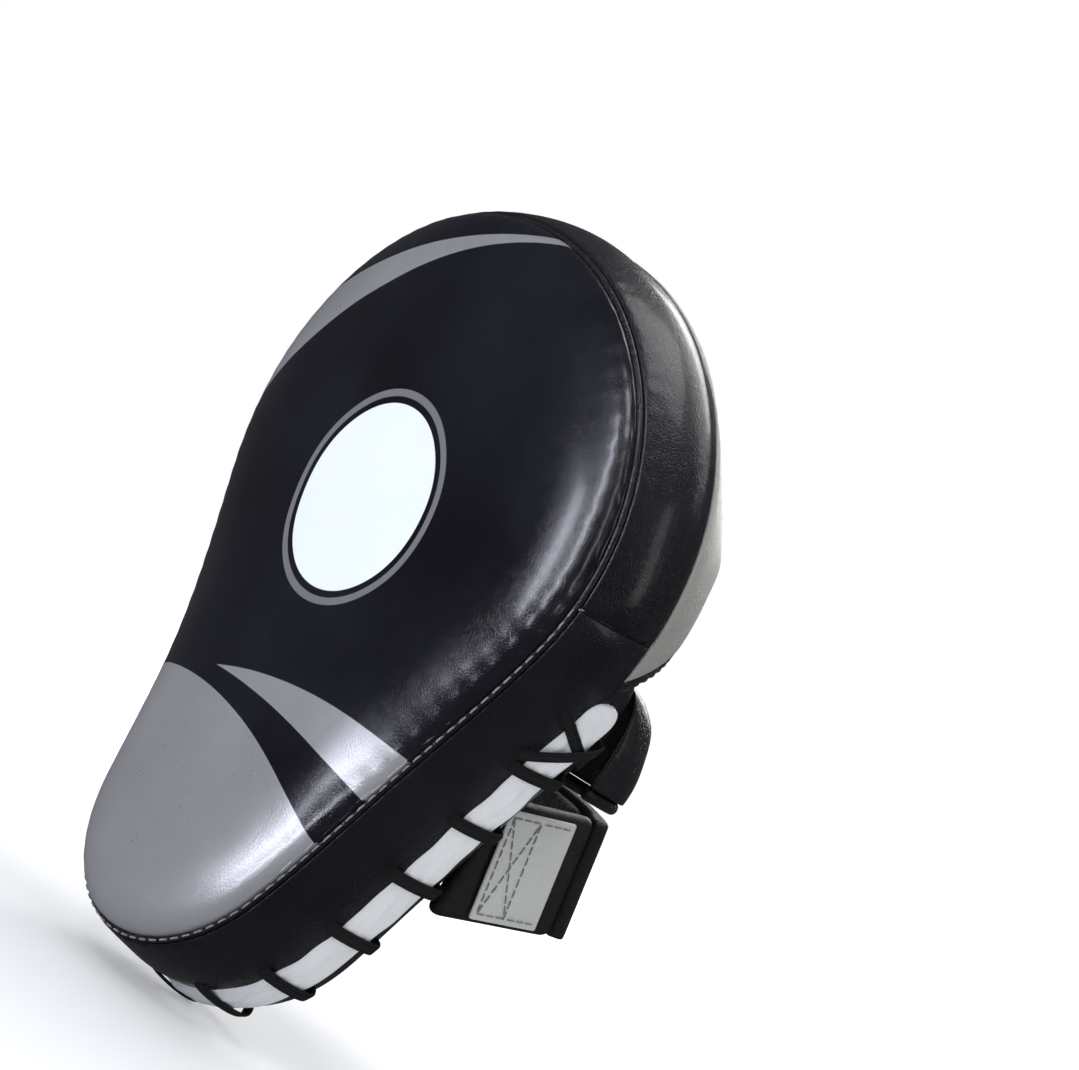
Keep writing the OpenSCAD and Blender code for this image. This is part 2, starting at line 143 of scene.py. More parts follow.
def inFromRim(u, v):
    # shortest distance to the outline, and how far round the outline that is
    gap = np.hypot(u.reshape(-1, 1) - rimPoints[:, 0], v.reshape(-1, 1) - rimPoints[:, 1])
    nearest = gap.argmin(axis=1)
    return gap.min(axis=1).reshape(u.shape), nearest.reshape(u.shape) * rimLength / len(rimPoints)


def ripple(points, size, seed, waves=9):
    # a sum of sine waves in random directions, about size long, between -1 and 1
    draw = np.random.default_rng(seed)
    turn = unit(draw.normal(size=(waves, 3))) * (2 * math.pi / size) * draw.uniform(0.6, 1.5, (waves, 1))
    return np.sin(points @ turn.T + draw.uniform(0, 2 * math.pi, waves)).sum(axis=-1) / waves * 1.6


# Making pieces from grids of points.

def fixNormals(mesh):
    # turns every face outwards
    work = bmesh.new()
    work.from_mesh(mesh)
    bmesh.ops.recalc_face_normals(work, faces=work.faces)
    work.to_mesh(mesh)
    work.free()


def newPiece(name, points, faces, uv=None):
    # a mesh object at the origin; a given UV map is in metres and is called along
    mesh = bpy.data.meshes.new(name)
    mesh.from_pydata(np.asarray(points).reshape(-1, 3).tolist(), [], [list(map(int, f)) for f in faces])
    if uv is not None:
        layer = mesh.uv_layers.new(name="along")
        layer.data.foreach_set("uv", np.asarray(uv, dtype=np.float32).ravel())
    fixNormals(mesh) if uv is None else mesh.update()
    mesh.shade_smooth()
    piece = bpy.data.objects.new(name, mesh)
    scene.collection.objects.link(piece)
    return piece


def gridPiece(name, grid, wrapRows=False, wrapCols=False, caps=False, flip=False):
    # quads between neighbours of a grid of points; UV is the distance along each way, in metres
    rows, cols = grid.shape[:2]
    i, j = np.meshgrid(np.arange(rows - (not wrapRows)), np.arange(cols - (not wrapCols)), indexing="ij")
    i2, j2 = (i + 1) % rows, (j + 1) % cols
    quads = np.stack([i * cols + j, i * cols + j2, i2 * cols + j2, i2 * cols + j], axis=-1).reshape(-1, 4)
    alongRows = np.linalg.norm(np.diff(grid, axis=0), axis=-1).mean(axis=1).mean()
    alongCols = np.linalg.norm(np.diff(grid, axis=1), axis=-1).mean(axis=0).mean()
    corners = [(0, 0), (0, 1), (1, 1), (1, 0)]
    uv = np.stack([np.stack([(i + x) * alongRows, (j + y) * alongCols], -1) for x, y in corners], axis=2)
    uv = uv.reshape(-1, 4, 2)
    points = grid.reshape(-1, 3)
    faces = quads[:, ::-1] if flip else quads
    uv = uv[:, ::-1] if flip else uv
    faces, uv = faces.tolist(), uv.reshape(-1, 2)
    if caps:
        ends = np.stack([grid[0].mean(axis=0), grid[-1].mean(axis=0)])
        points = np.concatenate([points, ends])
        k = np.arange(cols)
        first = np.stack([np.full(cols, rows * cols), (k + 1) % cols, k], axis=1)
        last = np.stack([np.full(cols, rows * cols + 1), (rows - 1) * cols + k,
                         (rows - 1) * cols + (k + 1) % cols], axis=1)
        fans = np.concatenate([first, last])
        faces += (fans[:, ::-1] if flip else fans).tolist()
        uv = np.concatenate([uv, np.zeros((fans.size, 2))])
    return newPiece(name, points, faces, uv)


def finishPiece(piece, material, body, replaces=(), thick=0, smooth=0):
    # thickness inwards, then smoothing, then what the piece is and which CAD nodes it stands for
    if thick:
        wall = piece.modifiers.new("wall", "SOLIDIFY")
        wall.thickness = thick
        wall.offset = -1
    if smooth:
        fine = piece.modifiers.new("smooth", "SUBSURF")
        fine.levels = fine.render_levels = smooth
    piece.data.materials.append(material)
    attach(piece, body)
    if replaces:
        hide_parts(*replaces)
    return piece


def movePoints(piece, change):
    # every point goes where change() sends it
    flat = np.empty(len(piece.data.vertices) * 3, dtype=np.float32)
    piece.data.vertices.foreach_get("co", flat)
    points = change(flat.reshape(-1, 3).astype(float))
    piece.data.vertices.foreach_set("co", points.astype(np.float32).ravel())
    piece.data.update()


def averaged(piece, values, passes):
    # each point's value moves towards the mean of its neighbours, once a pass
    ends = np.empty(len(piece.data.edges) * 2, dtype=np.int32)
    piece.data.edges.foreach_get("vertices", ends)
    a, b = ends.reshape(-1, 2).T
    count = np.bincount(ends, minlength=len(values))[:, None]
    for _ in range(passes):
        total = np.stack([np.bincount(a, v[b], len(v)) + np.bincount(b, v[a], len(v)) for v in values.T], 1)
        values = (values + total / np.maximum(count, 1)) / 2
    return values


def puff(piece, pinned, pressure, cap, frames=20, calm=0):
    # cloth pushed out by pressure from where it was cut, its moves capped and calmed, then kept as the mesh
    count = len(piece.data.vertices)
    before = np.empty(count * 3, dtype=np.float32)
    piece.data.vertices.foreach_get("co", before)
    before = before.reshape(-1, 3)
    group = piece.vertex_groups.new(name="sewn")
    group.add(np.flatnonzero(pinned).tolist(), 1.0, "REPLACE")
    cloth = piece.modifiers.new("cloth", "CLOTH")
    cloth.settings.vertex_group_mass = "sewn"
    cloth.settings.use_pressure = True
    cloth.settings.uniform_pressure_force = pressure
    cloth.settings.effector_weights.gravity = 0
    cloth.settings.quality = 5
    cloth.settings.shrink_min = -0.015
    cloth.collision_settings.use_collision = False
    cloth.point_cache.frame_start = 1
    cloth.point_cache.frame_end = frames
    for f in range(1, frames + 1):
        scene.frame_set(f)
    view = bpy.context.evaluated_depsgraph_get()
    after = np.empty(count * 3, dtype=np.float32)
    piece.evaluated_get(view).data.vertices.foreach_get("co", after)
    move = after.reshape(-1, 3) - before
    far = np.maximum(np.linalg.norm(move, axis=1, keepdims=True), 1e-9)
    print("puffed", piece.name, "by up to", round(float(far.max()) * 1000, 2), "mm before the cap")
    move *= cap * np.tanh(far / cap) / far
    if calm:
        move = averaged(piece, move, calm) * ~pinned[:, None]
    piece.modifiers.clear()
    piece.vertex_groups.clear()
    scene.frame_set(1)
    piece.data.vertices.foreach_set("co", (before + move).ravel())
    piece.data.update()


def padMap(piece):
    # UV map "pad": the point's own u and v on the pad, in metres
    flat = np.empty(len(piece.data.vertices) * 3, dtype=np.float32)
    piece.data.vertices.foreach_get("co", flat)
    u, v, w = padOf(flat.reshape(-1, 3).astype(float))
    corner = np.empty(len(piece.data.loops), dtype=np.int32)
    piece.data.loops.foreach_get("vertex_index", corner)
    layer = piece.data.uv_layers.new(name="pad")
    layer.data.foreach_set("uv", np.stack([u, v], axis=1)[corner].astype(np.float32).ravel())


def stitches(name, centres, along, out, material, body="pad", slot="lace_cord", radius=0.00038):
    # one thread end to end: a six-sided tube of five rings that rises and dips, copied to every place
    along, out = unit(along), unit(out)
    across = np.cross(out, along)
    x = np.array([-1, -0.82, 0, 0.82, 1]) * 0.0017
    size = np.array([0.45, 0.95, 1, 0.95, 0.45]) * radius
    lift = np.array([-0.5, 0.35, 0.8, 0.35, -0.5]) * radius
    turn = np.arange(6) * math.pi / 3
    sideways = size[:, None] * np.cos(turn)
    upwards = lift[:, None] + size[:, None] * np.sin(turn)
    count = len(centres)
    centres, along, across, out = (a[:, None, None] for a in (centres, along, across, out))
    grid = centres + along * x[:, None, None] + across * sideways[..., None] + out * upwards[..., None]
    i, j = np.meshgrid(np.arange(4), np.arange(6), indexing="ij")
    j2, i2 = (j + 1) % 6, i + 1
    one = np.stack([i * 6 + j, i * 6 + j2, i2 * 6 + j2, i2 * 6 + j], -1).reshape(-1, 4)
    faces = (one[None] + 30 * np.arange(count)[:, None, None]).reshape(-1, 4).tolist()
    ends = np.stack([np.arange(6), 24 + np.arange(6)[::-1]])
    faces += (ends[None] + 30 * np.arange(count)[:, None, None]).reshape(-1, 6).tolist()
    piece = newPiece(name, grid.reshape(-1, 3), faces)
    return finishPiece(piece, material, body)


def seamRow(path, out, pitch):
    # places a pitch apart along a line of points, with the line's direction and the way out at each
    far = np.concatenate([[0], np.cumsum(np.linalg.norm(np.diff(path, axis=0), axis=1))])
    s = np.arange(pitch / 2, far[-1], pitch)
    pick = lambda a: np.stack([np.interp(s, far, a[:, k]) for k in range(3)], axis=1)
    return pick(path), pick(np.gradient(path, axis=0)), pick(out)


def joinRows(rows):
    # places, directions and ways out of several rows, each joined end to end
    return [np.concatenate(part) for part in zip(*rows)]


# Materials: node groups for grain, weave and print, then one material for each leather or cloth.

def addNode(tree, kind, inputs=None, **settings):
    # a node with its settings; an input is linked if it is a socket, and set if it is a value
    node = tree.nodes.new(kind)
    for key, value in settings.items():
        setattr(node, key, value)
    for key, value in (inputs or {}).items():
        if isinstance(value, bpy.types.NodeSocket):
            tree.links.new(value, node.inputs[key])
        else:
            node.inputs[key].default_value = value
    return node


def newGroup(name, inputs, outputs):
    # a node group with its sockets, and its input and output nodes
    group = bpy.data.node_groups.new(name, "ShaderNodeTree")
    for label, kind, value in inputs:
        socket = group.interface.new_socket(label, in_out="INPUT", socket_type="NodeSocket" + kind)
        if value is not None:
            socket.default_value = value
    for label, kind in outputs:
        group.interface.new_socket(label, in_out="OUTPUT", socket_type="NodeSocket" + kind)
    return group, group.nodes.new("NodeGroupInput"), group.nodes.new("NodeGroupOutput")


def mathNode(tree, operation, a, b=0.0, clamp=False):
    # one sum of a and b
    return addNode(tree, "ShaderNodeMath", {0: a, 1: b}, operation=operation, use_clamp=clamp).outputs[0]


def rangeNode(tree, value, fromLow, fromHigh, toLow=0.0, toHigh=1.0, kind="SMOOTHSTEP"):
    # value, eased from one range to another
    ends = {"From Min": fromLow, "From Max": fromHigh, "To Min": toLow, "To Max": toHigh}
    return addNode(tree, "ShaderNodeMapRange", {"Value": value, **ends}, interpolation_type=kind).outputs[0]


def vectorNode(tree, operation, **inputs):
    # one sum of vectors; inputs are called a, b and scale
    sockets = {"a": 0, "b": 1, "scale": "Scale"}
    inputs = {sockets[k]: value for k, value in inputs.items()}
    return addNode(tree, "ShaderNodeVectorMath", inputs, operation=operation)


def noiseNode(tree, where, scale, detail, **more):
    # smooth noise, by default at its usual roughness
    return addNode(tree, "ShaderNodeTexNoise", {"Vector": where, "Scale": scale, "Detail": detail, **more})


def bumpFrom(tree, height, depth):
    # a normal from a height, depth metres deep
    return addNode(tree, "ShaderNodeBump", {"Height": height, "Distance": depth, "Strength": 1.0}).outputs[0]


def mixColour(tree, share, a, b):
    # a and b mixed: a·(1 - share) + b·share
    node = addNode(tree, "ShaderNodeMix", {0: share}, data_type="RGBA")
    for key, value in ((6, a), (7, b)):
        if isinstance(value, bpy.types.NodeSocket):
            tree.links.new(value, node.inputs[key])
        else:
            node.inputs[key].default_value = (*value, 1)
    return node.outputs[2]


def leatherGroup():
    # pebbled cells with fine cracks between, long soft creases, and slow changes of shade and gloss
    group, into, out = newGroup(
        "leatherGrain",
        [("Vector", "Vector", None), ("Cells", "Float", 900.0), ("Crease", "Float", 0.5)],
        [("Height", "Float"), ("Shade", "Float"), ("Gloss", "Float")])
    where = into.outputs["Vector"]
    bend = noiseNode(group, where, 160.0, 2.0)
    wander = vectorNode(group, "SCALE", a=bend.outputs["Color"], scale=0.0016)
    moved = vectorNode(group, "ADD", a=where, b=wander.outputs[0]).outputs[0]
    cells = addNode(group, "ShaderNodeTexVoronoi", {"Vector": moved, "Scale": into.outputs["Cells"]},
                    feature="DISTANCE_TO_EDGE")
    pebble = rangeNode(group, cells.outputs["Distance"], 0.0, 0.22)
    creases = noiseNode(group, where, 60.0, 5.0, Roughness=0.62, Distortion=0.8)
    fold = mathNode(group, "ABSOLUTE", mathNode(group, "SUBTRACT", creases.outputs[0], 0.5))
    foldLine = rangeNode(group, fold, 0.0, 0.05)
    deep = mathNode(group, "MULTIPLY", foldLine, into.outputs["Crease"])
    height = mathNode(group, "ADD", mathNode(group, "MULTIPLY", pebble, 0.35), deep)
    slow = noiseNode(group, where, 14.0, 3.0)
    fineGloss = noiseNode(group, where, 220.0, 3.0)
    gloss = mathNode(group, "ADD", mathNode(group, "MULTIPLY", slow.outputs[0], 0.6),
                     mathNode(group, "MULTIPLY", fineGloss.outputs[0], 0.4))
    group.links.new(height, out.inputs["Height"])
    group.links.new(slow.outputs[0], out.inputs["Shade"])
    group.links.new(gloss, out.inputs["Gloss"])
    return group


def clothGroup():
    # two crossed waves make a weave; Ribs fades one of them out to leave ribs
    numbers = [("Pitch", "Float", 0.0012), ("Ribs", "Float", 0.0), ("Slant", "Float", 0.0)]
    group, into, out = newGroup("clothWeave", [("Vector", "Vector", None)] + numbers,
                                [("Height", "Float"), ("Shade", "Float")])
    xyz = addNode(group, "ShaderNodeSeparateXYZ", {0: into.outputs["Vector"]})
    rate = mathNode(group, "DIVIDE", 2 * math.pi, into.outputs["Pitch"])
    leaned = mathNode(group, "MULTIPLY", xyz.outputs[1], into.outputs["Slant"])
    sloped = mathNode(group, "ADD", xyz.outputs[0], leaned)
    first = mathNode(group, "SINE", mathNode(group, "MULTIPLY", sloped, rate))
    second = mathNode(group, "SINE", mathNode(group, "MULTIPLY", xyz.outputs[1], rate))
    keep = mathNode(group, "SUBTRACT", 1.0, into.outputs["Ribs"])
    crossed = mathNode(group, "ADD", first, mathNode(group, "MULTIPLY", second, keep))
    height = rangeNode(group, crossed, -1.4, 1.4)
    fuzz = noiseNode(group, into.outputs["Vector"], 900.0, 2.0)
    total = mathNode(group, "ADD", height, mathNode(group, "MULTIPLY", fuzz.outputs[0], 0.35))
    group.links.new(total, out.inputs["Height"])
    # Shade is the weave's height again, so the colour is painted shade: darker in the hollows, lighter on the
    # raised threads
    group.links.new(height, out.inputs["Shade"])
    return group


prints = {  # circles on the face, as centre u, centre v, radius
    "target": (0.0, 0.1754, 0.037), "targetGap": (0.0, 0.1754, 0.0397), "targetRing": (0.0, 0.1754, 0.0426),
    "crescentLow": (0.0716, 0.0783, 0.212), "crescentHigh": (0.077, -0.0251, 0.317),
    "wrist": (-0.0255, -0.1216, 0.209),
    "sweepHigh": (0.0583, -0.1753, 0.2827), "sweepLow": (-0.0048, -0.2757, 0.3712),
    "edge": 0.00012,
}


def printGroup():
    # circles cut each other into a round target, a crescent over the fingers and two sweeps at the wrist
    group, into, out = newGroup("facePrint", [("Vector", "Vector", None)],
                                [("Silver", "Float"), ("Ring", "Float"), ("White", "Float")])

    def inside(name):
        # 1 within the circle and 0 outside it
        u, v, r = prints[name]
        far = vectorNode(group, "DISTANCE", a=into.outputs["Vector"], b=(u, v, 0)).outputs["Value"]
        return rangeNode(group, far, r - prints["edge"], r + prints["edge"], 1.0, 0.0, "LINEAR")

    def cut(a, b):
        # what is in a and not in b: a·(1 - b)
        return mathNode(group, "MULTIPLY", a, mathNode(group, "SUBTRACT", 1.0, b))

    crescent = cut(inside("crescentHigh"), inside("crescentLow"))
    sweep = cut(inside("sweepHigh"), inside("sweepLow"))
    silver = mathNode(group, "ADD", mathNode(group, "ADD", crescent, sweep), inside("wrist"), clamp=True)
    group.links.new(silver, out.inputs["Silver"])
    group.links.new(cut(inside("targetRing"), inside("targetGap")), out.inputs["Ring"])
    group.links.new(inside("target"), out.inputs["White"])
    return group


leather = leatherGroup()
weave = clothGroup()
facePrint = printGroup()


def shaderOf(name):
    # a new material, its node tree and its shader node
    material = bpy.data.materials.new(name)
    material.use_nodes = True
    tree = material.node_tree
    return material, tree, tree.nodes["Principled BSDF"]


def leatherMaterial(name, dark, light, rough, cells=900.0, crease=0.4, depth=0.00022, metallic=0.0, coat=0.0,
                    coatRough=0.15, printed=False):
    # grain in the bump, shade and roughness between their two ends, and the print over the colour
    material, tree, shader = shaderOf(name)
    spot = addNode(tree, "ShaderNodeTexCoord").outputs["Object"]
    grain = addNode(tree, "ShaderNodeGroup", node_tree=leather)
    tree.links.new(spot, grain.inputs["Vector"])
    grain.inputs["Cells"].default_value = cells
    grain.inputs["Crease"].default_value = crease
    shade = rangeNode(tree, grain.outputs["Shade"], 0.3, 0.7)
    colour = mixColour(tree, shade, dark, light)
    roughness = rangeNode(tree, grain.outputs["Gloss"], 0.3, 0.7, rough - 0.05, rough + 0.07)
    shader.inputs["Metallic"].default_value = metallic
    shader.inputs["Coat Weight"].default_value = coat
    shader.inputs["Coat Roughness"].default_value = coatRough
    if printed:
        ink = addNode(tree, "ShaderNodeGroup", node_tree=facePrint)
        tree.links.new(addNode(tree, "ShaderNodeUVMap", uv_map="pad").outputs[0], ink.inputs["Vector"])
        silver = mixColour(tree, shade, (0.5, 0.5, 0.52), (0.55, 0.55, 0.57))
        colour = mixColour(tree, ink.outputs["Silver"], colour, silver)
        colour = mixColour(tree, ink.outputs["Ring"], colour, (0.17, 0.17, 0.18))
        colour = mixColour(tree, ink.outputs["White"], colour, (0.83, 0.88, 0.93))
        metal = mathNode(tree, "MULTIPLY", ink.outputs["Silver"], 0.6)
        tree.links.new(metal, shader.inputs["Metallic"])
        matt = mathNode(tree, "ADD", mathNode(tree, "MULTIPLY", ink.outputs["Silver"], 0.1),
                        mathNode(tree, "MULTIPLY", ink.outputs["White"], 0.16))
        roughness = mathNode(tree, "ADD", roughness, matt)
    tree.links.new(colour, shader.inputs["Base Color"])
    tree.links.new(roughness, shader.inputs["Roughness"])
    tree.links.new(bumpFrom(tree, grain.outputs["Height"], depth), shader.inputs["Normal"])
    return material


def clothMaterial(name, dark, light, pitch, ribs=0.0, slant=0.0, depth=0.0004, rough=0.85, sheen=0.2,
                  mapName=None):
    # weave in the bump, and in the colour as painted shade in its hollows; on the piece's own map where the
    # pattern follows it
    material, tree, shader = shaderOf(name)
    if mapName:
        spot = addNode(tree, "ShaderNodeUVMap", uv_map=mapName).outputs[0]
    else:
        spot = addNode(tree, "ShaderNodeTexCoord").outputs["Object"]
    cloth = addNode(tree, "ShaderNodeGroup", node_tree=weave)
    tree.links.new(spot, cloth.inputs["Vector"])
    for label, value in (("Pitch", pitch), ("Ribs", ribs), ("Slant", slant)):
        cloth.inputs[label].default_value = value
    tree.links.new(mixColour(tree, cloth.outputs["Shade"], dark, light), shader.inputs["Base Color"])
    tree.links.new(bumpFrom(tree, cloth.outputs["Height"], depth), shader.inputs["Normal"])
    shader.inputs["Roughness"].default_value = rough
    shader.inputs["Sheen Weight"].default_value = sheen
    return material


black = (0.0026, 0.0022, 0.0052)
faceLeather = leatherMaterial("faceLeather", black, (0.009, 0.009, 0.015), 0.21, coat=0.4, crease=0.05,
                              depth=0.00005, printed=True)
wallLeather = leatherMaterial("wallLeather", black, (0.009, 0.009, 0.015), 0.3, coat=0.35, crease=0.3,
                              depth=0.00018)
palmLeather = leatherMaterial("palmLeather", (0.006, 0.006, 0.008), (0.013, 0.013, 0.016), 0.36, cells=700.0,
                              crease=0.6, depth=0.00025, coat=0.25)
bindingLeather = leatherMaterial("bindingLeather", (0.004, 0.004, 0.005), (0.01, 0.01, 0.011), 0.24,
                                 cells=1300.0, crease=0.7, coat=0.4)
silverLeather = leatherMaterial("silverLeather", (0.5, 0.49, 0.45), (0.62, 0.61, 0.57), 0.4, cells=1100.0,
                                crease=0.35, metallic=0.5)
whiteLeather = leatherMaterial("whiteLeather", (0.74, 0.75, 0.77), (0.84, 0.84, 0.84), 0.6, cells=700.0,
                               crease=0.4, depth=0.00025)
patchLeather = leatherMaterial("patchLeather", (0.66, 0.66, 0.64), (0.74, 0.74, 0.72), 0.45, cells=1100.0,
                               crease=0.3, metallic=0.25)
strapLeather = leatherMaterial("strapLeather", (0.007, 0.007, 0.008), (0.015, 0.015, 0.016), 0.42,
                               cells=1000.0)
laceBraid = clothMaterial("laceBraid", (0.002, 0.002, 0.002), (0.009, 0.009, 0.01), 0.0011, slant=1.0,
                          depth=0.0005, mapName="along", rough=0.75, sheen=0.03)
ribKnit = clothMaterial("ribKnit", (0.003, 0.003, 0.003), (0.03, 0.03, 0.03), 0.0026, ribs=0.85, depth=0.0011,
                        mapName="along")
liningCloth = clothMaterial("liningCloth", (0.02, 0.02, 0.022), (0.05, 0.05, 0.055), 0.0014)
loopPile = clothMaterial("loopPile", (0.01, 0.01, 0.01), (0.045, 0.045, 0.045), 0.0016, depth=0.0009,
                         sheen=0.5)
hookPile = clothMaterial("hookPile", (0.012, 0.012, 0.012), (0.06, 0.06, 0.06), 0.0012, depth=0.0009,
                         rough=0.5)
foamCell = leatherMaterial("foamCell", (0.6, 0.56, 0.42), (0.75, 0.72, 0.6), 0.85, cells=1500.0, crease=0.2)
denseFoam = leatherMaterial("denseFoam", (0.1, 0.11, 0.13), (0.16, 0.17, 0.19), 0.85, cells=1800.0,
                            crease=0.2)
greyThread = clothMaterial("greyThread", (0.14, 0.14, 0.15), (0.34, 0.34, 0.35), 0.0006, slant=1.0,
                           depth=0.0002, rough=0.6)
darkThread = clothMaterial("darkThread", (0.006, 0.006, 0.006), (0.03, 0.03, 0.03), 0.0006, slant=1.0,
                           depth=0.0002, rough=0.6)
print("materials made")

# Camera, lights and floor.
shot = {"place": (0.7043, -0.5637, -0.0550), "azimuth": 51.77, "elevation": -2.6, "roll": 30.94,
        "lens": 80.07}
turnBy, rise, roll = (math.radians(shot[k]) for k in ("azimuth", "elevation", "roll"))
ahead = Vector((-math.sin(turnBy) * math.cos(rise), math.cos(turnBy) * math.cos(rise), -math.sin(rise)))
level = Vector((math.cos(turnBy), math.sin(turnBy), 0))
upright = level.cross(ahead)
camRight = math.cos(roll) * level + math.sin(roll) * upright
camUp = -math.sin(roll) * level + math.cos(roll) * upright
camera = bpy.data.objects.new("camera", bpy.data.cameras.new("camera"))
camera.data.lens = shot["lens"]
camera.data.clip_start, camera.data.clip_end = 0.01, 100
axes = Matrix([camRight, camUp, -ahead]).transposed().to_4x4()
camera.matrix_world = Matrix.Translation(shot["place"]) @ axes
scene.collection.objects.link(camera)
scene.camera = camera


def softbox(name, position, size, power, tint=(1, 1, 1), target=(0, 0, -0.08)):
    # a rectangular light that faces the middle of the pad
    lamp = bpy.data.lights.new(name, "AREA")
    lamp.shape = "RECTANGLE"
    lamp.size, lamp.size_y = size
    lamp.energy = power
    lamp.color = tint
    box = bpy.data.objects.new(name, lamp)
    box.location = position
    box.rotation_mode = "QUATERNION"
    box.rotation_quaternion = (Vector(target) - Vector(position)).to_track_quat("-Z", "Y")
    scene.collection.objects.link(box)


softbox("topBox", (0.1, 0.4, 1.6), (1.2, 0.9), 9)
softbox("sideBox", (1.3, 0.75, 0.3), (0.3, 1.0), 1.6)
softbox("faceStrip", (0.14, -1.5, 0.05), (0.1, 1.2), 8, (0.86, 0.88, 1))
softbox("lowStrip", (-0.08, -0.8, -0.1), (0.08, 0.3), 1.1, (0.86, 0.88, 1))
softbox("edgeStrip", (1.0, -1.25, 0.1), (0.05, 1.4), 2.2)
softbox("frontFill", (0.5, -1.1, 1.0), (0.4, 0.4), 3)
softbox("handFill", (-0.8, 1.4, 0.8), (1.0, 0.8), 12)

world = bpy.data.worlds.new("studio")
world.use_nodes = True
sky = world.node_tree
sky.nodes.clear()
# white to the camera, dim to glossy surfaces, soft to the rest
bright, soft, dark = (
    addNode(sky, "ShaderNodeBackground", {"Color": (*tint, 1), "Strength": strength}).outputs[0]
    for tint, strength in (((1, 1, 1), 1.0), ((0.93, 0.96, 1), 0.5), ((0.9, 0.93, 1), 0.07)))
ray = addNode(sky, "ShaderNodeLightPath").outputs
lit = addNode(sky, "ShaderNodeMixShader", {0: ray["Is Glossy Ray"], 1: soft, 2: dark})
either = addNode(sky, "ShaderNodeMixShader", {0: ray["Is Camera Ray"], 1: lit.outputs[0], 2: bright})
addNode(sky, "ShaderNodeOutputWorld", {0: either.outputs[0]})
scene.world = world
scene.view_settings.view_transform = "Standard"

floorZ = cadBox[0][2] - 0.0005
reach = 40.0
square = [(x * reach, y * reach, floorZ) for x, y in ((-1, -1), (1, -1), (1, 1), (-1, 1))]
floor = newPiece("floor", square, [(0, 1, 2, 3)])
floorPaint, floorTree, floorShader = shaderOf("floorPaint")
floorShader.inputs["Base Color"].default_value = (0.93, 0.94, 0.96, 1)
floorShader.inputs["Roughness"].default_value = 0.7
floorShader.inputs["Emission Color"].default_value = (1, 1, 1, 1)
# the floor glows to the camera only, less near the object, so that the shadow there shows
toCamera = addNode(floorTree, "ShaderNodeLightPath").outputs["Is Camera Ray"]
spot = addNode(floorTree, "ShaderNodeTexCoord").outputs["Object"]
far = vectorNode(floorTree, "LENGTH", a=spot).outputs["Value"]
glow = mathNode(floorTree, "MULTIPLY", toCamera, rangeNode(floorTree, far, 0.3, 1.2, 0.24, 0.62))
floorTree.links.new(glow, floorShader.inputs["Emission Strength"])
floor.data.materials.append(floorPaint)
floor.visible_glossy = False

# The face, and the disc grids that it and the hand side are made from.

def discCells(cells):
    # a square grid pressed into a disc: x·sqrt(1 - y²/2), y·sqrt(1 - x²/2)
    line = np.linspace(-1, 1, cells + 1)
    y, x = np.meshgrid(line, line, indexing="ij")
    return x * np.sqrt(1 - y * y / 2), y * np.sqrt(1 - x * x / 2)


def padDisc(cells, crowd=1.4):
    # disc cells stretched out from the hub to the outline, closer together near the edge
    x, y = discCells(cells)
    share = 1 - (1 - np.minimum(np.hypot(x, y), 1)) ** crowd
    heading = np.arctan2(x, y)
    rimHeading = np.arctan2(rimPoints[:, 0], rimPoints[:, 1] - pad["hubV"])
    reachOut = np.hypot(rimPoints[:, 0], rimPoints[:, 1] - pad["hubV"])
    order = np.argsort(rimHeading)
    radius = np.interp(heading, rimHeading[order], reachOut[order], period=2 * math.pi)
    return share * radius * np.sin(heading), pad["hubV"] + share * radius * np.cos(heading)


def closedDisc(name, front, back):
    # two grids of points that share their outer edge
    side = front.shape[0]
    index = np.arange(side * side).reshape(side, side)
    inner = np.zeros((side, side), bool)
    inner[1:-1, 1:-1] = True
    other = index.copy()
    other[inner] = side * side + np.arange(inner.sum())
    quads = lambda k: np.stack([k[:-1, :-1], k[:-1, 1:], k[1:, 1:], k[1:, :-1]], axis=-1).reshape(-1, 4)
    points = np.concatenate([front.reshape(-1, 3), back[inner]])
    faces = np.concatenate([quads(index), quads(other)[:, ::-1]])
    return newPiece(name, points, faces), inner


face = {"cells": 84, "edge": 0.0015, "crown": 0.012, "roll": 0.026, "dome": 0.002, "domeAt": 0.085,
        "pressure": 5.0, "cap": 0.0022}
u, v = padDisc(face["cells"])
inward, around = inFromRim(u, v)
depth = -face["edge"] - (face["crown"] - face["edge"]) * roundOff(inward / face["roll"])
depth -= face["dome"] * ease(inward / face["domeAt"])
facePanel, inner = closedDisc("facePanel", place(u, v, depth), place(u, v, 0.0004 + 0 * u))
pinned = np.ones(len(facePanel.data.vertices), bool)
pinned[:inner.size] = ~inner.ravel()
puff(facePanel, pinned, face["pressure"], face["cap"], calm=120)


def gather(points):
    # small tucks at the seam: a wave round the rim that dies away inwards
    pu, pv, pw = padOf(points)
    e, s = inFromRim(pu, pv)
    front = pw < -0.001
    tuck = 0.00035 * np.sin(2 * math.pi * s / 0.0093) * np.exp(-e / 0.004) * (e > 0.0004)
    slack = 0.0003 * ripple(points, 0.045, 4) * ease(e / 0.02)
    return place(pu, pv, pw - (tuck + slack) * front)


movePoints(facePanel, gather)
padMap(facePanel)
finishPiece(facePanel, faceLeather, "pad", ("face_panel",), smooth=1)
print("face made")

# The seam welt and the side walls.
wallDepth = {"upper": 0.035, "lower": 0.038, "upperBulge": 0.0035, "lowerBulge": 0.0015, "belly": 0.032,
             "top": 0.0009, "thick": 0.0016}


def rimSweep(s, outs, deeps):
    # a cross-section of out and deep values carried along the outline at distances s
    points, away = rimAt(s)
    u = points[:, 0, None] + away[:, 0, None] * outs
    v = points[:, 1, None] + away[:, 1, None] * outs
    return place(u, v, np.broadcast_to(deeps, u.shape))


def fullness(deep):
    # how full the wall is at a depth: a sine, flattened by a power
    return np.sin(math.pi * np.minimum(1, deep / wallDepth["belly"])) ** 0.8


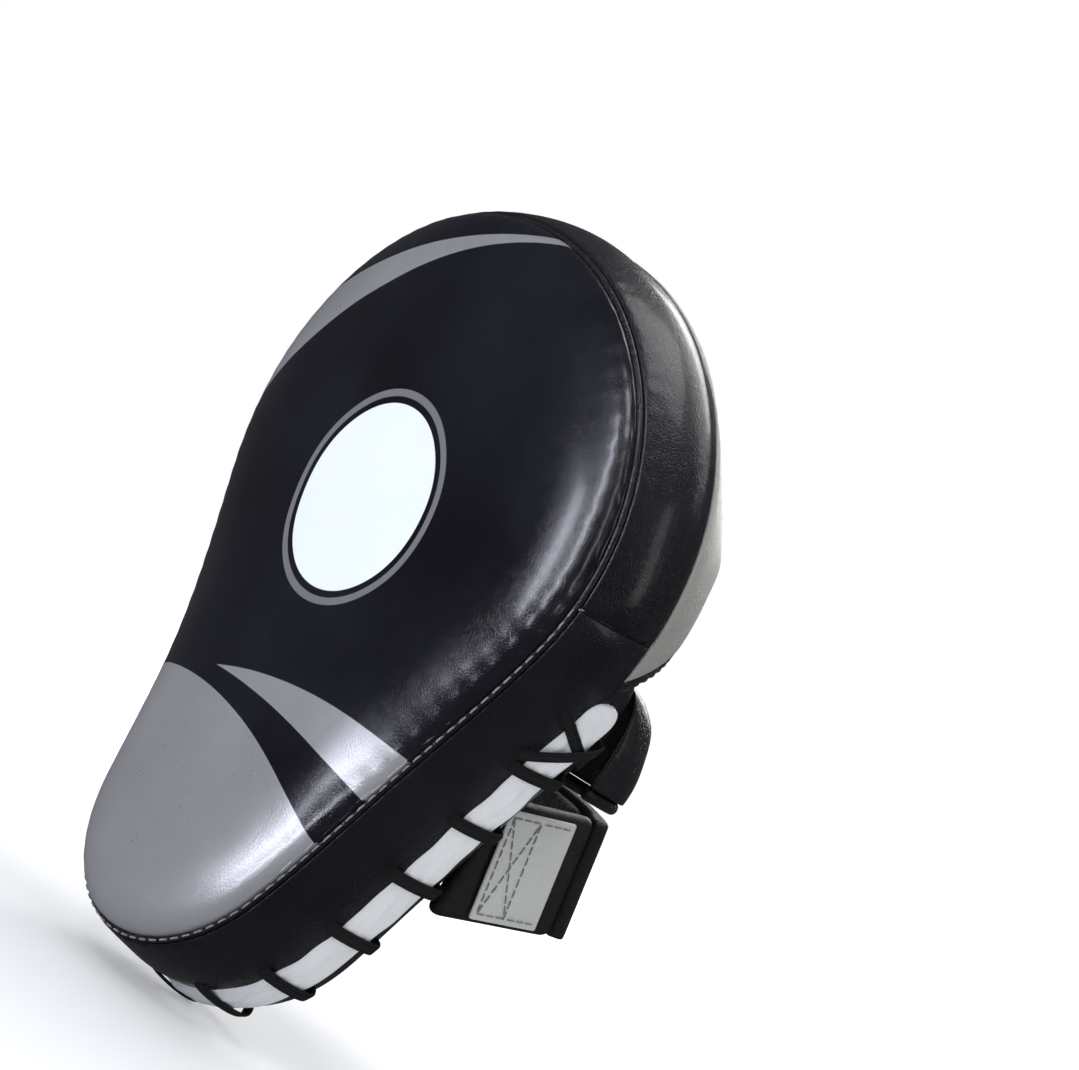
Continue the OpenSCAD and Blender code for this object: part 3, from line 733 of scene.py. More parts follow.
turn8 = np.arange(8) * math.pi / 4
weltS = np.arange(420) * rimLength / 420
weltOut, weltDeep = 0.0002 + 0.00125 * np.cos(turn8)[None], -0.0002 + 0.0013 * np.sin(turn8)[None]
welt = gridPiece("seamWelt", rimSweep(weltS, weltOut, weltDeep), wrapRows=True, wrapCols=True)
finishPiece(welt, bindingLeather, "pad", ("seam_welt",), smooth=1)

seamS = float(np.interp(-pad["seamV"], -rimPoints[:600, 1], np.arange(600) * rimLength / 1200))


def wallPiece(name, s, bulgeOf, depthOf, seed):
    # the wall bulges by a sine of its depth, and is pulled in where it meets the next wall
    f = np.array([0, 0.04, 0.1, 0.2, 0.32, 0.45, 0.58, 0.7, 0.82, 0.92, 0.97, 1])
    deep = wallDepth["top"] + (depthOf[:, None] - wallDepth["top"]) * f
    out = bulgeOf[:, None] * fullness(deep)
    flat = rimSweep(s, out, deep)
    pinch = np.exp(-(np.minimum(abs(s - seamS), abs(rimLength - seamS - s)) / 0.003) ** 2)[:, None]
    out = out + (0.0005 * ripple(flat, 0.035, seed) - 0.0012 * pinch) * np.sin(math.pi * f)
    out = out + 0.00025 * np.sin(2 * math.pi * s[:, None] / 0.0081 + seed) * np.exp(-deep / 0.004) * (f > 0)
    return gridPiece(name, rimSweep(s, out, deep))


upperS = np.linspace(-seamS + 0.0002, seamS - 0.0002, 170)
upperWall = wallPiece("upperWall", upperS, np.full(len(upperS), wallDepth["upperBulge"]),
                      np.full(len(upperS), wallDepth["upper"]), 2)
lowerS = np.linspace(seamS + 0.0002, rimLength - seamS - 0.0002, 240)
lowerV = rimAt(lowerS)[0][:, 1]
upperShare = ease((lowerV - 0.14) / 0.04)
lowerBulge = wallDepth["lowerBulge"] + (wallDepth["upperBulge"] - wallDepth["lowerBulge"]) * upperShare
lowerDepth = wallDepth["upper"] + (wallDepth["lower"] - wallDepth["upper"]) * ease((0.172 - lowerV) / 0.02)
lowerWall = wallPiece("lowerWall", lowerS, lowerBulge, lowerDepth, 5)
for wall, node in ((upperWall, "upper_gusset"), (lowerWall, "lower_gusset")):
    finishPiece(wall, wallLeather, "pad", (node,), thick=wallDepth["thick"], smooth=1)

# the two short seams where the walls meet: a thin fold of leather each
for label, s0 in (("Right", seamS), ("Left", rimLength - seamS)):
    deep = np.linspace(0.001, 0.0352, 26)
    out = wallDepth["upperBulge"] * fullness(deep)
    out = out - 0.0011 * np.sin(math.pi * (deep - 0.001) / 0.0342)
    s = s0 + 0.0009 * np.cos(turn8)
    points, away = rimAt(s)
    offset = out[:, None] + 0.0009 * np.sin(turn8)
    grid = place(points[:, 0] + away[:, 0] * offset, points[:, 1] + away[:, 1] * offset, deep[:, None])
    fold = gridPiece("wallSeam" + label, grid, wrapCols=True, caps=True)
    finishPiece(fold, bindingLeather, "pad")

pathS = np.linspace(0, rimLength, 900)
points, away = rimAt(pathS)
wristSide = (pathS > seamS) & (pathS < rimLength - seamS)
beside, down = np.where(wristSide, 0.0009, 0.0013)[:, None], np.where(wristSide, -0.0013, 0.0026)
aimed = np.where(wristSide, 0.004, 0.01)[:, None]
seamPath = place(*(points + away * beside).T, down)
seamAway = place(*(points + away * aimed).T, np.where(wristSide, -0.01, down)) - seamPath
stitches("seamStitches", *seamRow(seamPath, seamAway, 0.0052), greyThread)
print("walls made")

# The hand side.
hand = {"palm": 0.061, "floor": 0.032, "edgeLow": 0.0294, "edge": 0.0383, "roll": 0.016, "cells": 80,
        "pressure": 3.0, "cap": 0.0015, "thick": 0.0016, "inset": 0.0038}


def handDepth(v):
    # deep at the palm, low under the fingers, with an eased slope between
    return hand["floor"] + (hand["palm"] - hand["floor"]) * ease((0.198 - v) / 0.046)


u, v = padDisc(hand["cells"])
covered = ease((v - 0.14) / 0.018)
shrink = 1 - hand["inset"] * covered / np.maximum(np.hypot(u, v - pad["hubV"]), 0.05)
u, v = u * shrink, pad["hubV"] + (v - pad["hubV"]) * shrink
inward, around = inFromRim(u, v)
inward = np.maximum(0, inward - hand["inset"] * ease((v - 0.14) / 0.018))
start = hand["edge"] + (hand["edgeLow"] - hand["edge"]) * covered
depth = start + (handDepth(v) - start) * roundOff(inward / hand["roll"] + 0.02)
channel = np.exp(-((inward - 0.021) / 0.0018) ** 2) * (v < 0.15)
channel = np.maximum(channel, np.exp(-((v - 0.149) / 0.0018) ** 2) * (inward > 0.021))
depth = depth - 0.0013 * channel
# the padding under the slope stands a little proud of it along the middle
depth = depth + 0.0022 * np.exp(-((v - 0.187) / 0.012) ** 2 - (u / 0.035) ** 2)
back = np.minimum(depth - hand["thick"], start + 0.001)
palmPanel, inner = closedDisc("palmPanel", place(u, v, depth), place(u, v, back))
pinned = np.ones(len(palmPanel.data.vertices), bool)
pinned[:inner.size] = (~inner | (channel > 0.4) | (v > 0.2)).ravel()
puff(palmPanel, pinned, hand["pressure"], hand["cap"])
finishPiece(palmPanel, palmLeather, "pad", ("back_panel",), smooth=1)

ringS = np.linspace(0, rimLength, 1200)
points, away = rimAt(ringS)
inSet = points - away * 0.021
low = (inSet[:, 1] < 0.149)
order = np.argsort(np.where(low, ringS, np.inf))[:low.sum()]
inSet = inSet[order]
inPath = place(inSet[:, 0], inSet[:, 1], handDepth(inSet[:, 1]) - 0.0004)
inOut = place(inSet[:, 0], inSet[:, 1], handDepth(inSet[:, 1]) + 0.01) - inPath
acrossU = np.linspace(inSet[0, 0], inSet[-1, 0], 60)
acrossPath = place(acrossU, 0 * acrossU + 0.149, handDepth(0.149) - 0.0004 + 0 * acrossU)
acrossOut = place(acrossU, 0 * acrossU + 0.149, handDepth(0.149) + 0.01 + 0 * acrossU) - acrossPath
stitches("palmStitches", *joinRows([seamRow(inPath, inOut, 0.0048), seamRow(acrossPath, acrossOut, 0.0048)]),
         darkThread)

grip = {"v": 0.128, "radius": 0.024, "rise": 0.011}
r = np.linspace(0, 1, 18)[1:, None]
a = np.arange(48)[None] * 2 * math.pi / 48
swell = grip["rise"] * (1 - r ** 2.4) ** 0.6 - 0.0008 * np.exp(-((r - 0.82) / 0.04) ** 2)
dome = place(grip["radius"] * r * np.sin(a), grip["v"] + grip["radius"] * r * np.cos(a),
             hand["palm"] + 0.0004 + swell + 0 * a)
palmGrip = gridPiece("palmGrip", np.concatenate([dome, dome[-1:]]), wrapCols=True, caps=True)
finishPiece(palmGrip, palmLeather, "pad", ("palm_grip",), smooth=1)
print("hand side made")

# The lace strip and the lace.
strip = {"low": 0.031, "high": 0.0465, "halfLength": 0.201, "endRadius": 0.0075}
laceSet = {"turns": 6, "pitch": 0.0275, "width": 0.0048, "thick": 0.0012}
s = np.linspace(-strip["halfLength"], strip["halfLength"], 330)
endRound = strip["endRadius"] * (1 - roundOff((strip["halfLength"] - abs(s)) / strip["endRadius"]))
f = np.linspace(0, 1, 17)
deep = (strip["low"] + endRound)[:, None] + (strip["high"] - strip["low"] - 2 * endRound)[:, None] * f
between = abs(np.sin(math.pi * s / laceSet["pitch"]))[:, None] ** 0.7
crease = ripple(np.stack(np.broadcast_arrays(s[:, None], f * 0.05, 0), -1), 0.012, 8)
out = 0.0012 + 0.0011 * np.sin(math.pi * f) ** 0.5 + 0.0014 * between * np.sin(math.pi * f) + 0.0004 * crease
foldAt = 0.55 + 0.12 * np.sin(s / 0.011) + 0.08 * np.sin(s / 0.0043 + 1)
out = out - 0.0008 * between * np.exp(-((f - foldAt[:, None]) / 0.07) ** 2)
deep = deep + 0.0005 * ripple(np.stack(np.broadcast_arrays(s[:, None], 0 * f, 0), -1), 0.02, 3)
laceStrip = gridPiece("laceStrip", rimSweep(rimHalf - s, out, deep))
finishPiece(laceStrip, whiteLeather, "pad", ("lace_strip",), thick=0.0011, smooth=1)

lastTurn = laceSet["turns"] * laceSet["pitch"]
# each station: distance along, out, deep, turn of the flat side in degrees
oneTurn = [(0, 0.0006, 0.0255, -55), (0, 0.0028, 0.0295, -20), (0.001, 0.0036, 0.039, 0),
           (0.002, 0.0028, 0.048, 20), (0.002, 0.0002, 0.0508, 60), (0.004, -0.0038, 0.048, 150),
           (laceSet["pitch"] - 0.004, -0.0038, 0.029, 210)]
crossing = [(0.004, -0.0038, 0.048, 150), (0.0052, -0.0038, 0.027, 210), (0.0052, 0.0006, 0.023, 305),
            (0.006, 0.0031, 0.027, 340), (0.012, 0.0048, 0.036, 360), (0.017, 0.0048, 0.044, 375),
            (0.019, 0.0028, 0.049, 395), (0.0195, 0.0002, 0.051, 430), (0.019, -0.003, 0.0485, 510),
            (0.0185, -0.003, 0.044, 535), (0.016, -0.0037, 0.0385, 540), (0.0135, -0.0044, 0.044, 540),
            (0.013, -0.0042, 0.049, 570), (0.0125, 0.0002, 0.0513, 640), (0.014, 0.0028, 0.0475, 690),
            (0.019, 0.0034, 0.038, 720), (0.026, 0.0028, 0.025, 740), (0.028, 0.0004, 0.0185, 775)]
route = [(-lastTurn - s, *rest) for s, *rest in crossing[::-1]] + [(-lastTurn - 0.003, -0.0038, 0.029, 210)]
for k in range(-laceSet["turns"], laceSet["turns"]):
    route += [(s + k * laceSet["pitch"], *rest) for s, *rest in oneTurn]
route += [(s + lastTurn, *rest) for s, *rest in oneTurn[:5] + crossing]
route = np.array(route)
route[:, 3] = np.unwrap(np.radians(route[:, 3]))


def throughPoints(path, per):
    # a smooth curve through every point, each piece a cubic of its four neighbours
    p = np.concatenate([2 * path[:1] - path[1:2], path, 2 * path[-1:] - path[-2:-1]])
    t = (np.arange(per) / per)[None, :, None]
    a, b, c, d = (p[k:len(p) - 3 + k][:, None] for k in range(4))
    curve = b + ((c - a) * t + (2 * a - 5 * b + 4 * c - d) * t ** 2 + (3 * b - a - 3 * c + d) * t ** 3) / 2
    return np.concatenate([curve.reshape(-1, path.shape[1]), path[-1:]])


lacePath = throughPoints(route, 6)
points, away = rimAt(rimHalf - lacePath[:, 0])
run = np.stack([-away[:, 1], away[:, 0]], axis=1)
t = np.arange(12) * math.pi / 6 + math.pi / 12
wide = squared(np.cos(t), 0.35) * laceSet["width"] / 2
tall = squared(np.sin(t), 0.8) * laceSet["thick"] / 2
lean = lacePath[:, 3, None]
alongRim = np.broadcast_to(wide, (len(lacePath), 12))
outOf = lacePath[:, 1, None] + np.cos(lean) * tall
deepOf = lacePath[:, 2, None] + np.sin(lean) * tall
grid = place(points[:, 0, None] + run[:, 0, None] * alongRim + away[:, 0, None] * outOf,
             points[:, 1, None] + run[:, 1, None] * alongRim + away[:, 1, None] * outOf, deepOf)
flatLace = gridPiece("flatLace", grid, wrapCols=True, caps=True)
finishPiece(flatLace, laceBraid, "pad", ("lacing",))

# the punched holes that the lace comes out of, each with a pressed rim
holeS = np.concatenate([np.arange(-6, 7) * laceSet["pitch"], [-lastTurn - 0.0052, lastTurn + 0.0052],
                        [-lastTurn - 0.028, lastTurn + 0.028]])
holeW = np.concatenate([np.full(13, 0.0248), [0.0225, 0.0225, 0.0182, 0.0182]])
ringTurn = np.arange(14) * 2 * math.pi / 14
tubeTurn = np.arange(6) * math.pi / 3
points, away = rimAt(rimHalf - holeS)
run = np.stack([-away[:, 1], away[:, 0]], axis=1)
around = (0.0024 + 0.0006 * np.cos(tubeTurn))[None, None, :] * np.cos(ringTurn)[None, :, None]
down = (0.0016 + 0.0006 * np.cos(tubeTurn))[None, None, :] * np.sin(ringTurn)[None, :, None]
raised = 0.0013 + 0.0005 * np.sin(tubeTurn)[None, None, :] + 0 * around
grid = place(points[:, 0, None, None] + run[:, 0, None, None] * around + away[:, 0, None, None] * raised,
             points[:, 1, None, None] + run[:, 1, None, None] * around + away[:, 1, None, None] * raised,
             holeW[:, None, None] + down)
i, j = np.meshgrid(np.arange(14), np.arange(6), indexing="ij")
j2, i2 = (j + 1) % 6, (i + 1) % 14
one = np.stack([i * 6 + j, i * 6 + j2, i2 * 6 + j2, i2 * 6 + j], -1).reshape(-1, 4)
faces = (one[None] + 84 * np.arange(len(holeS))[:, None, None]).reshape(-1, 4)
laceHoles = newPiece("laceHoles", grid.reshape(-1, 3), faces)
finishPiece(laceHoles, bindingLeather, "pad")
print("lacing made")

# The finger hood.
hood = {"rise": 0.062, "tipShare": 0.06, "fall": 2.0, "arch": 1.4, "window": math.radians(60),
        "windowReach": 0.46, "thick": 0.002, "base": 0.035, "tipAngle": math.radians(3.5), "binding": 0.007}


def headHalf(v):
    # half width of the finger end: halfWidth·sqrt(1 - ((v - headV) / rise)²)
    return pad["halfWidth"] * np.sqrt(np.maximum(0, 1 - ((v - headV) / pad["rise"]) ** 2))


def mouthLine(a):
    # where the hood's mouth is at angle a: low at its legs, high over the knuckles
    return mouth["legV"] + (mouth["v"] - mouth["legV"]) * np.sin(np.clip(a, 0, math.pi)) ** 1.3


def hoodV(a, t):
    # distance along the pad, from the mouth at t = 0 to the tip at t = 1, even in angle
    start = np.arccos((mouthLine(a) - headV) / pad["rise"])
    return headV + pad["rise"] * np.cos(start * (1 - t) + hood["tipAngle"] * t)


def hoodAt(a, v, sink):
    # an arch as wide as the finger end, flatter at its feet than an ellipse, its height falling to the tip
    toTip = np.maximum(0, (pad["length"] - v) / (pad["length"] - mouth["v"]))
    high = hood["rise"] * np.minimum(1, toTip + hood["tipShare"]) ** hood["fall"]
    arch = np.abs(np.sin(a)) ** hood["arch"]
    deep = hood["base"] + high * arch - sink * np.sqrt(np.abs(np.sin(a)))
    return place((headHalf(v) - sink) * np.cos(a), v, deep)


def windowEdge(a):
    # where the window ends, as a share of the way to the tip: reach·(1 - (offset / window)^1.5)
    return hood["windowReach"] * np.maximum(0, 1 - (abs(a - math.pi / 2) / hood["window"]) ** 1.5)


def hoodOut(a, t):
    # the way out of the hood's surface
    v = hoodV(a, t)
    return unit(hoodAt(a, v, -0.005) - hoodAt(a, v, 0.0))


a = np.linspace(0, math.pi, 121)[:, None]
f = np.linspace(0, 1, 49)[None]
t = windowEdge(a) + (1 - windowEdge(a)) * f
flat = hoodAt(a, hoodV(a, t), 0.0)
puffOut = (0.0011 * np.sin(a) ** 0.5 + 0.0006 * ripple(flat, 0.05, 6)) * np.sin(math.pi * f)
puffOut = puffOut - 0.0007 * np.exp(-((t - windowEdge(a) - 0.085) / 0.018) ** 2) * (f > 0.02)
fingerHood = gridPiece("fingerHood", flat + hoodOut(a, t) * (puffOut * np.sin(a) ** 0.3)[..., None])
finishPiece(fingerHood, silverLeather, "pad", ("finger_hood",), thick=hood["thick"],
            smooth=1)

a = np.linspace(math.pi / 2 - hood["window"], math.pi / 2 + hood["window"], 91)[:, None]
f = np.linspace(0, 1, 31)[None]
t = (windowEdge(a) + 0.035) * f
sag = 0.002 * np.sin(math.pi * f) * np.cos((a - math.pi / 2) * 1.4)
hoodMesh = gridPiece("hoodMesh", hoodAt(a, hoodV(a, t), 0.0024 + sag))
finishPiece(hoodMesh, ribKnit, "pad", ("hood_mesh",), thick=0.0009, smooth=1)

a = np.linspace(math.radians(22.5), math.radians(157.5), 61)[:, None]
f = np.linspace(0, 1, 25)[None]
t = windowEdge(a) + 0.07 + (0.6 - windowEdge(a) - 0.07) * f
hoodLining = gridPiece("hoodLining", hoodAt(a, hoodV(a, t), 0.0032 + 0.0006 * np.sin(8 * a)))
finishPiece(hoodLining, liningCloth, "pad", ("hood_padding",), thick=0.0035, smooth=1)

a = np.linspace(math.radians(1.5), math.radians(178.5), 150)[:, None]
t = np.arange(12)[None] * math.pi / 6
edgeV = mouthLine(a) + 0.0002 + hood["binding"] / 2 * (squared(np.cos(t), 0.8) - 1)
edgeSink = 0.001 - 0.0024 * squared(np.sin(t), 0.8)
mouthBinding = gridPiece("mouthBinding", hoodAt(a, edgeV, edgeSink), wrapCols=True, caps=True)
finishPiece(mouthBinding, bindingLeather, "pad", ("mouth_binding",), smooth=1)


def hoodRow(a, t, lift, pitch):
    # a row of stitches along a line on the hood
    return seamRow(hoodAt(a, hoodV(a, t), 0.0) + hoodOut(a, t) * lift, hoodOut(a, t), pitch)


a = np.linspace(math.radians(31), math.radians(149), 200)
rows = [hoodRow(a, windowEdge(a) + 0.045, 0.0006, 0.0046)]
t = np.linspace(0.02, 0.98, 160)
rows += [hoodRow(np.full(160, math.radians(angle)), t, 0.0004, 0.0046) for angle in (4.5, 175.5)]
stitches("hoodStitches", *joinRows(rows), darkThread, slot="lace_cord")
a = np.linspace(math.radians(6), math.radians(174), 260)
bindV = mouthLine(a) - hood["binding"] + 0.0016
bindOut = unit(hoodAt(a, bindV, -0.005) - hoodAt(a, bindV, 0.0))
stitches("bindingStitches", *seamRow(hoodAt(a, bindV, 0.0) + bindOut * 0.0008, bindOut, 0.005), darkThread)

# a row of small plain stars sewn on the hood
spread = np.linspace(-1, 1, 9)
starA = math.pi / 2 + math.radians(66) * np.sign(spread) * abs(spread) ** 0.8
starT = 0.80 - 0.52 * spread ** 2
centre = hoodAt(starA, hoodV(starA, starT), 0.0)
outward = hoodOut(starA, starT)
sideways = unit(hoodAt(starA + 0.02, hoodV(starA + 0.02, starT), 0.0) - centre)
upwards = np.cross(outward, sideways)
tip = np.arange(10) * math.pi / 5
size = np.where(np.arange(10) % 2 == 0, 0.0042, 0.0017)
shape = (centre[:, None] + sideways[:, None] * (size * np.sin(tip))[None, :, None]
         + upwards[:, None] * (size * np.cos(tip))[None, :, None])
shape = np.concatenate([shape + outward[:, None] * 0.0004, shape + outward[:, None] * 0.0012,
                        (centre + outward * 0.0016)[:, None]], axis=1)
k = np.arange(10)
sides = np.stack([k, (k + 1) % 10, 10 + (k + 1) % 10, 10 + k], axis=1)
tops = np.stack([10 + k, 10 + (k + 1) % 10, np.full(10, 20)], axis=1)
faces = [list(f + 21 * n) for n in range(9) for part in (sides, tops) for f in part]
faces += [list(np.arange(10)[::-1] + 21 * n) for n in range(9)]
hoodStars = newPiece("hoodStars", shape.reshape(-1, 3), faces)
hoodStars.data.shade_flat()
finishPiece(hoodStars, bindingLeather, "pad")
print("hood made")

# The thumb pocket.
thumb = {"u": 0.076, "v0": 0.130, "v1": 0.163, "half": 0.017, "rise": 0.028, "base": 0.0615}


def thumbAt(a, x, sink):
    # half an ellipse across that narrows along the pocket and rounds off at its closed end
    close = np.sqrt(np.maximum(0, 1 - (np.maximum(0, x - 0.7) / 0.3) ** 2))
    half = (thumb["half"] * (1 - 0.35 * x * x) - sink) * (0.35 + 0.65 * close)
    high = (thumb["rise"] * (1 - 0.62 * x * x) - sink) * (0.12 + 0.88 * close)
    return place(thumb["u"] + 0.004 * x + half * np.cos(a), thumb["v0"] + (thumb["v1"] - thumb["v0"]) * x,
                 thumb["base"] + high * np.sin(a))


a = np.linspace(0, math.pi, 41)[:, None]
x = np.linspace(0, 1, 25)[None]
grid = thumbAt(a, x, 0.0)
swell = 0.0008 * ripple(grid, 0.02, 12)[..., None] * np.sin(math.pi * x)[..., None]
thumbPocket = gridPiece("thumbPocket", grid + unit(grid - thumbAt(a, x, 0.004)) * swell)
finishPiece(thumbPocket, palmLeather, "pad", ("thumb_pocket",), thick=0.0018, smooth=1)
a = np.linspace(math.radians(2), math.radians(178), 50)[:, None]
t = np.arange(10)[None] * math.pi / 5
mouthEdge = thumbAt(a, 0.0 * t, 0.001 - 0.0022 * np.sin(t))
towardsWrist = place(0, thumb["v0"], thumb["base"]) - place(0, thumb["v0"] + 0.01, thumb["base"])
mouthEdge = mouthEdge + towardsWrist * (0.22 - 0.24 * np.cos(t))[..., None]
thumbBinding = gridPiece("thumbBinding", mouthEdge, wrapCols=True, caps=True)
finishPiece(thumbBinding, bindingLeather, "pad", ("thumb_binding",), smooth=1)
print("thumb pocket made")

# The wrist strap, in its own frame: x across, y away from the palm, z along the corners.
strap = {"v": 0.103, "w": 0.114, "lean": math.radians(11.5), "width": 0.047, "thick": 0.005, "corner": 0.004,
         "cuff": 0.058, "cuffThick": 0.008, "tip": -0.0701, "rise": 0.014, "tipEnd": -0.040}
strapSpot = place(0.0, strap["v"], strap["w"])


def strapPlace(x, y, z):
    # from the strap's frame to the pad's: turned by the lean about x, then moved to the strap's spot
    c, s = math.cos(strap["lean"]), math.sin(strap["lean"])
    y, z = strapSpot[1] + y * c - z * s, strapSpot[2] + y * s + z * c
    return np.stack(np.broadcast_arrays(x, y, z), axis=-1)


def upright(x, y):
    # a path along y at one x
    return np.stack([np.full(len(y), x), y], axis=1)


def roundedBar(width, thick, corner):
    # a rectangle with round corners: thickness first, then width
    t = np.linspace(0, math.pi / 2, 5)
    corners = [(1, 1, 0), (-1, 1, 1), (-1, -1, 2), (1, -1, 3)]
    parts = [np.stack([sx * (thick / 2 - corner) + corner * np.cos(t + q * math.pi / 2),
                       sz * (width / 2 - corner) + corner * np.sin(t + q * math.pi / 2)], axis=1)
             for sx, sz, q in corners]
    return np.concatenate(parts)


def bandPiece(name, path, thick, width, corner=0.0016, endRound=0.0016, slope=None, belly=0.0):
    # a rounded bar carried along a line in x and y, thinning to round ends; slope shears its first end
    run = unit(np.gradient(path, axis=0))
    side = np.stack([run[:, 1], -run[:, 0]], axis=1)
    far = np.concatenate([[0], np.cumsum(np.linalg.norm(np.diff(path, axis=0), axis=1))])
    ends = roundOff(np.minimum(far, far[-1] - far) / endRound) * 0.85 + 0.15
    thick = np.broadcast_to(thick, len(path))
    bar = roundedBar(width, float(thick.max()), corner)
    across = bar[None, :, 0] * (thick / thick.max() * ends)[:, None]
    across = across * (1 + belly * (1 - (2 * bar[None, :, 1] / width) ** 2))
    z = bar[None, :, 1] * (1 - (1 - ends) * 4 * corner / width)[:, None]
    x = path[:, 0, None] + side[:, 0, None] * across
    y = path[:, 1, None] + side[:, 1, None] * across
    if slope is not None:
        y = y + slope * z * (1 - far / far[-1])[:, None]
    return gridPiece(name, strapPlace(x, y, z), wrapCols=True, caps=True)


def endTight(a, b, count, edge=0.0016):
    # numbers from a to b, closer together at both ends
    inner = np.linspace(0, 1, count)
    e = edge / abs(b - a)
    steps = e * np.array([0, 0.06, 0.22, 0.5])
    return a + (b - a) * np.concatenate([steps, np.linspace(e, 1 - e, count), 1 - steps[::-1]])


# base line of the cuff walls: where the palm's plane cuts the strap frame
palmLean = (strap["v"] - pad["length"] / 2) / pad["bend"] - strap["lean"]
down = strap["w"] - hand["palm"] - 0.0006
baseY = -down * math.cos(palmLean) + math.tan(-palmLean) * down * math.sin(palmLean)
cuffTop = -strap["corner"] - 0.0006
for label, sign, node in (("Right", 1, "cuff_right"), ("Left", -1, "cuff_left")):
    y = endTight(baseY, cuffTop, 26)
    path = upright(sign * strap["cuff"], y)
    cuff = bandPiece("cuff" + label, path, strap["cuffThick"] * 0.9, strap["width"], corner=0.003,
                     endRound=0.003, slope=math.tan(-palmLean), belly=0.12)
    finishPiece(cuff, strapLeather, "pad", (node,), smooth=1)

cuffFace = strap["cuff"] + strap["cuffThick"] / 2
patch = {"low": -0.046, "high": -0.015, "fold": -0.0315, "row": 0.0185, "inset": 0.002}
y = endTight(patch["low"], patch["high"], 16)
anchorPatch = bandPiece("anchorPatch", upright(cuffFace + 0.0011, y), 0.0016, 0.042, corner=0.0006,
                        endRound=0.0012, belly=0.1)
finishPiece(anchorPatch, patchLeather, "pad", ("strap_anchor",), smooth=1)


def strapRow(start, end, out, pitch=0.0042):
    # a straight row of stitches between two places in the strap's frame
    line = np.linspace(start, end, 40)
    path = strapPlace(line[:, 0], line[:, 1], line[:, 2])
    away = strapPlace(line[:, 0] + out[0], line[:, 1] + out[1], line[:, 2] + out[2]) - path
    return seamRow(path, away, pitch)


x = cuffFace + 0.0021
edge, row = patch["low"] + patch["inset"], patch["row"]
box = [(x, edge, -row), (x, edge, row), (x, patch["fold"], row), (x, patch["fold"], -row)]
rows = [strapRow(box[k], box[(k + 1) % 4], (1, 0, 0)) for k in range(4)]
rows += [strapRow(box[0], box[2], (1, 0, 0)), strapRow(box[1], box[3], (1, 0, 0))]
outer = (patch["fold"] + 0.0015, patch["high"] - 0.0015)
rows += [strapRow((x, outer[0], z), (x, outer[1], z), (1, 0, 0)) for z in (-row, row)]
stitches("anchorStitches", *joinRows(rows), greyThread, radius=0.00026)

y = endTight(-0.040, -0.008, 14)
loopPatch = bandPiece("loopPatch", upright(-cuffFace - 0.00105, y), 0.0015, 0.040, corner=0.0005,
                      endRound=0.0008)
finishPiece(loopPatch, loopPile, "pad", ("loop_patch",), smooth=1)

halfSpan = (strap["cuff"] - strap["tip"]) / 2
midSpan = (strap["cuff"] + strap["tip"]) / 2
spanR = (halfSpan ** 2 + strap["rise"] ** 2) / (2 * strap["rise"])


def archPath(x, radius):
    # the strap's arc: y = rise - spanR + sqrt(radius² - (x - midSpan)²)
    return np.stack([x, strap["rise"] - spanR + np.sqrt(radius ** 2 - (x - midSpan) ** 2)], axis=1)


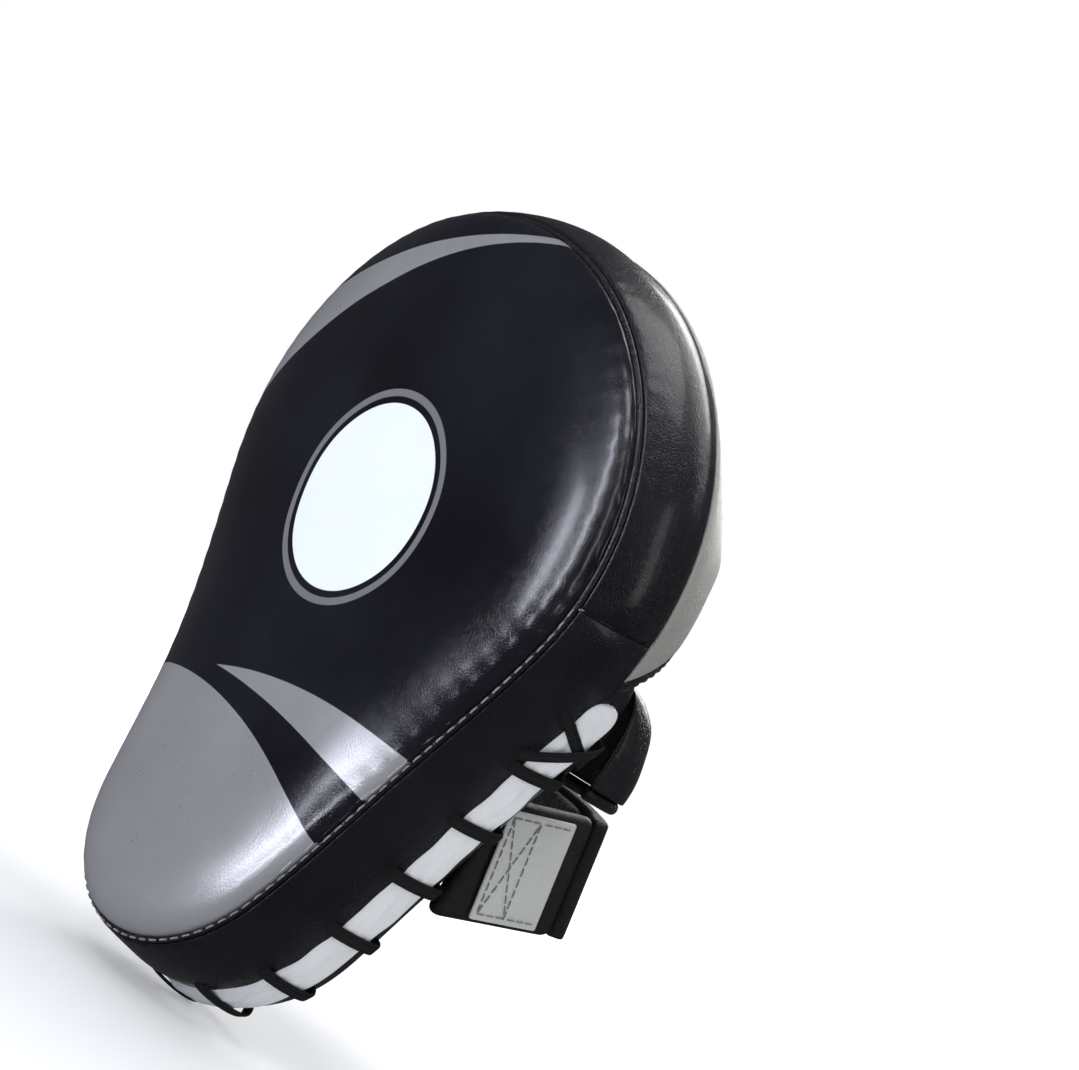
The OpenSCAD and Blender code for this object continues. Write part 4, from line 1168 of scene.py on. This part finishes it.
x = endTight(strap["tip"] + strap["corner"] + 0.0008, strap["cuff"] + 0.0035, 70)
path = archPath(x, spanR)
fold = ease((x - strap["cuff"] + 0.009) / 0.006)
path[:, 1] -= 0.0006 * fold
strapSpan = bandPiece("strapSpan", path, strap["thick"] + 0.0022 * fold, strap["width"], endRound=0.0032)
finishPiece(strapSpan, strapLeather, "strap", ("strap_span",), smooth=1)
x = endTight(strap["tip"] + 0.016, strap["cuff"] - 0.014, 80)
channels = 0.72 + 0.28 * abs(np.sin(math.pi * (x - x[0]) / (x[-1] - x[0]) * 5)) ** 0.5
lining = bandPiece("spanLining", archPath(x, spanR - strap["thick"] / 2 - 0.0027), 0.0047 * channels, 0.043,
                   corner=0.002, endRound=0.003)
finishPiece(lining, liningCloth, "strap", ("span_lining",), smooth=1)
x = np.linspace(strap["tip"] + 0.008, strap["cuff"] - 0.004, 120)
rows = []
for z in (-0.0205, 0.0205):
    line = archPath(x, spanR + strap["thick"] / 2)
    path = strapPlace(line[:, 0], line[:, 1], z)
    away = strapPlace(line[:, 0] + (line[:, 0] - midSpan) / spanR, line[:, 1] + 1, z) - path
    rows.append(seamRow(path, away, 0.0044))
stitches("strapStitches", *joinRows(rows), greyThread, body="strap")

y = endTight(strap["corner"], strap["tipEnd"], 34)
slide = ease((0.001 - y) / 0.007)
tipPath = np.stack([strap["tip"] - 0.002 * slide, y], axis=1)
strapTip = bandPiece("strapTip", tipPath, 0.008 - 0.004 * slide, strap["width"], corner=0.0014,
                     endRound=0.003)
finishPiece(strapTip, strapLeather, "tip", ("strap_tip",), smooth=1)
y = endTight(strap["tipEnd"] + 0.002, -0.009, 14)
hookPatch = bandPiece("hookPatch", upright(strap["tip"] + 0.00305, y), 0.0056, 0.040, corner=0.001,
                      endRound=0.001)
finishPiece(hookPatch, hookPile, "tip", ("hook_patch",), smooth=1)
y = endTight(strap["tipEnd"], strap["tipEnd"] + 0.018, 12)
tipTab = bandPiece("tipTab", upright(strap["tip"] - 0.0050, y), 0.0014, 0.042, corner=0.0005,
                   endRound=0.001)
finishPiece(tipTab, silverLeather, "tip", ("tip_tab",), smooth=1)
x = strap["tip"] - 0.0059
edge, end, row = strap["tipEnd"] + 0.0015, strap["tipEnd"] + 0.0165, 0.0190
box = [(x, edge, -row), (x, edge, row), (x, end, row), (x, end, -row)]
rows = [strapRow(box[k], box[(k + 1) % 4], (-1, 0, 0)) for k in range(4)]
stitches("tipStitches", *joinRows(rows), greyThread, body="tip")
print("strap made")

# The foams inside keep their own shapes.
foams = {"impact_foam": foamCell, "core_foam": denseFoam, "rear_foam": foamCell, "back_foam": foamCell}
for node, material in foams.items():
    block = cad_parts[node]
    block.data.materials.clear()
    block.data.materials.append(material)

bpy.context.view_layer.update()
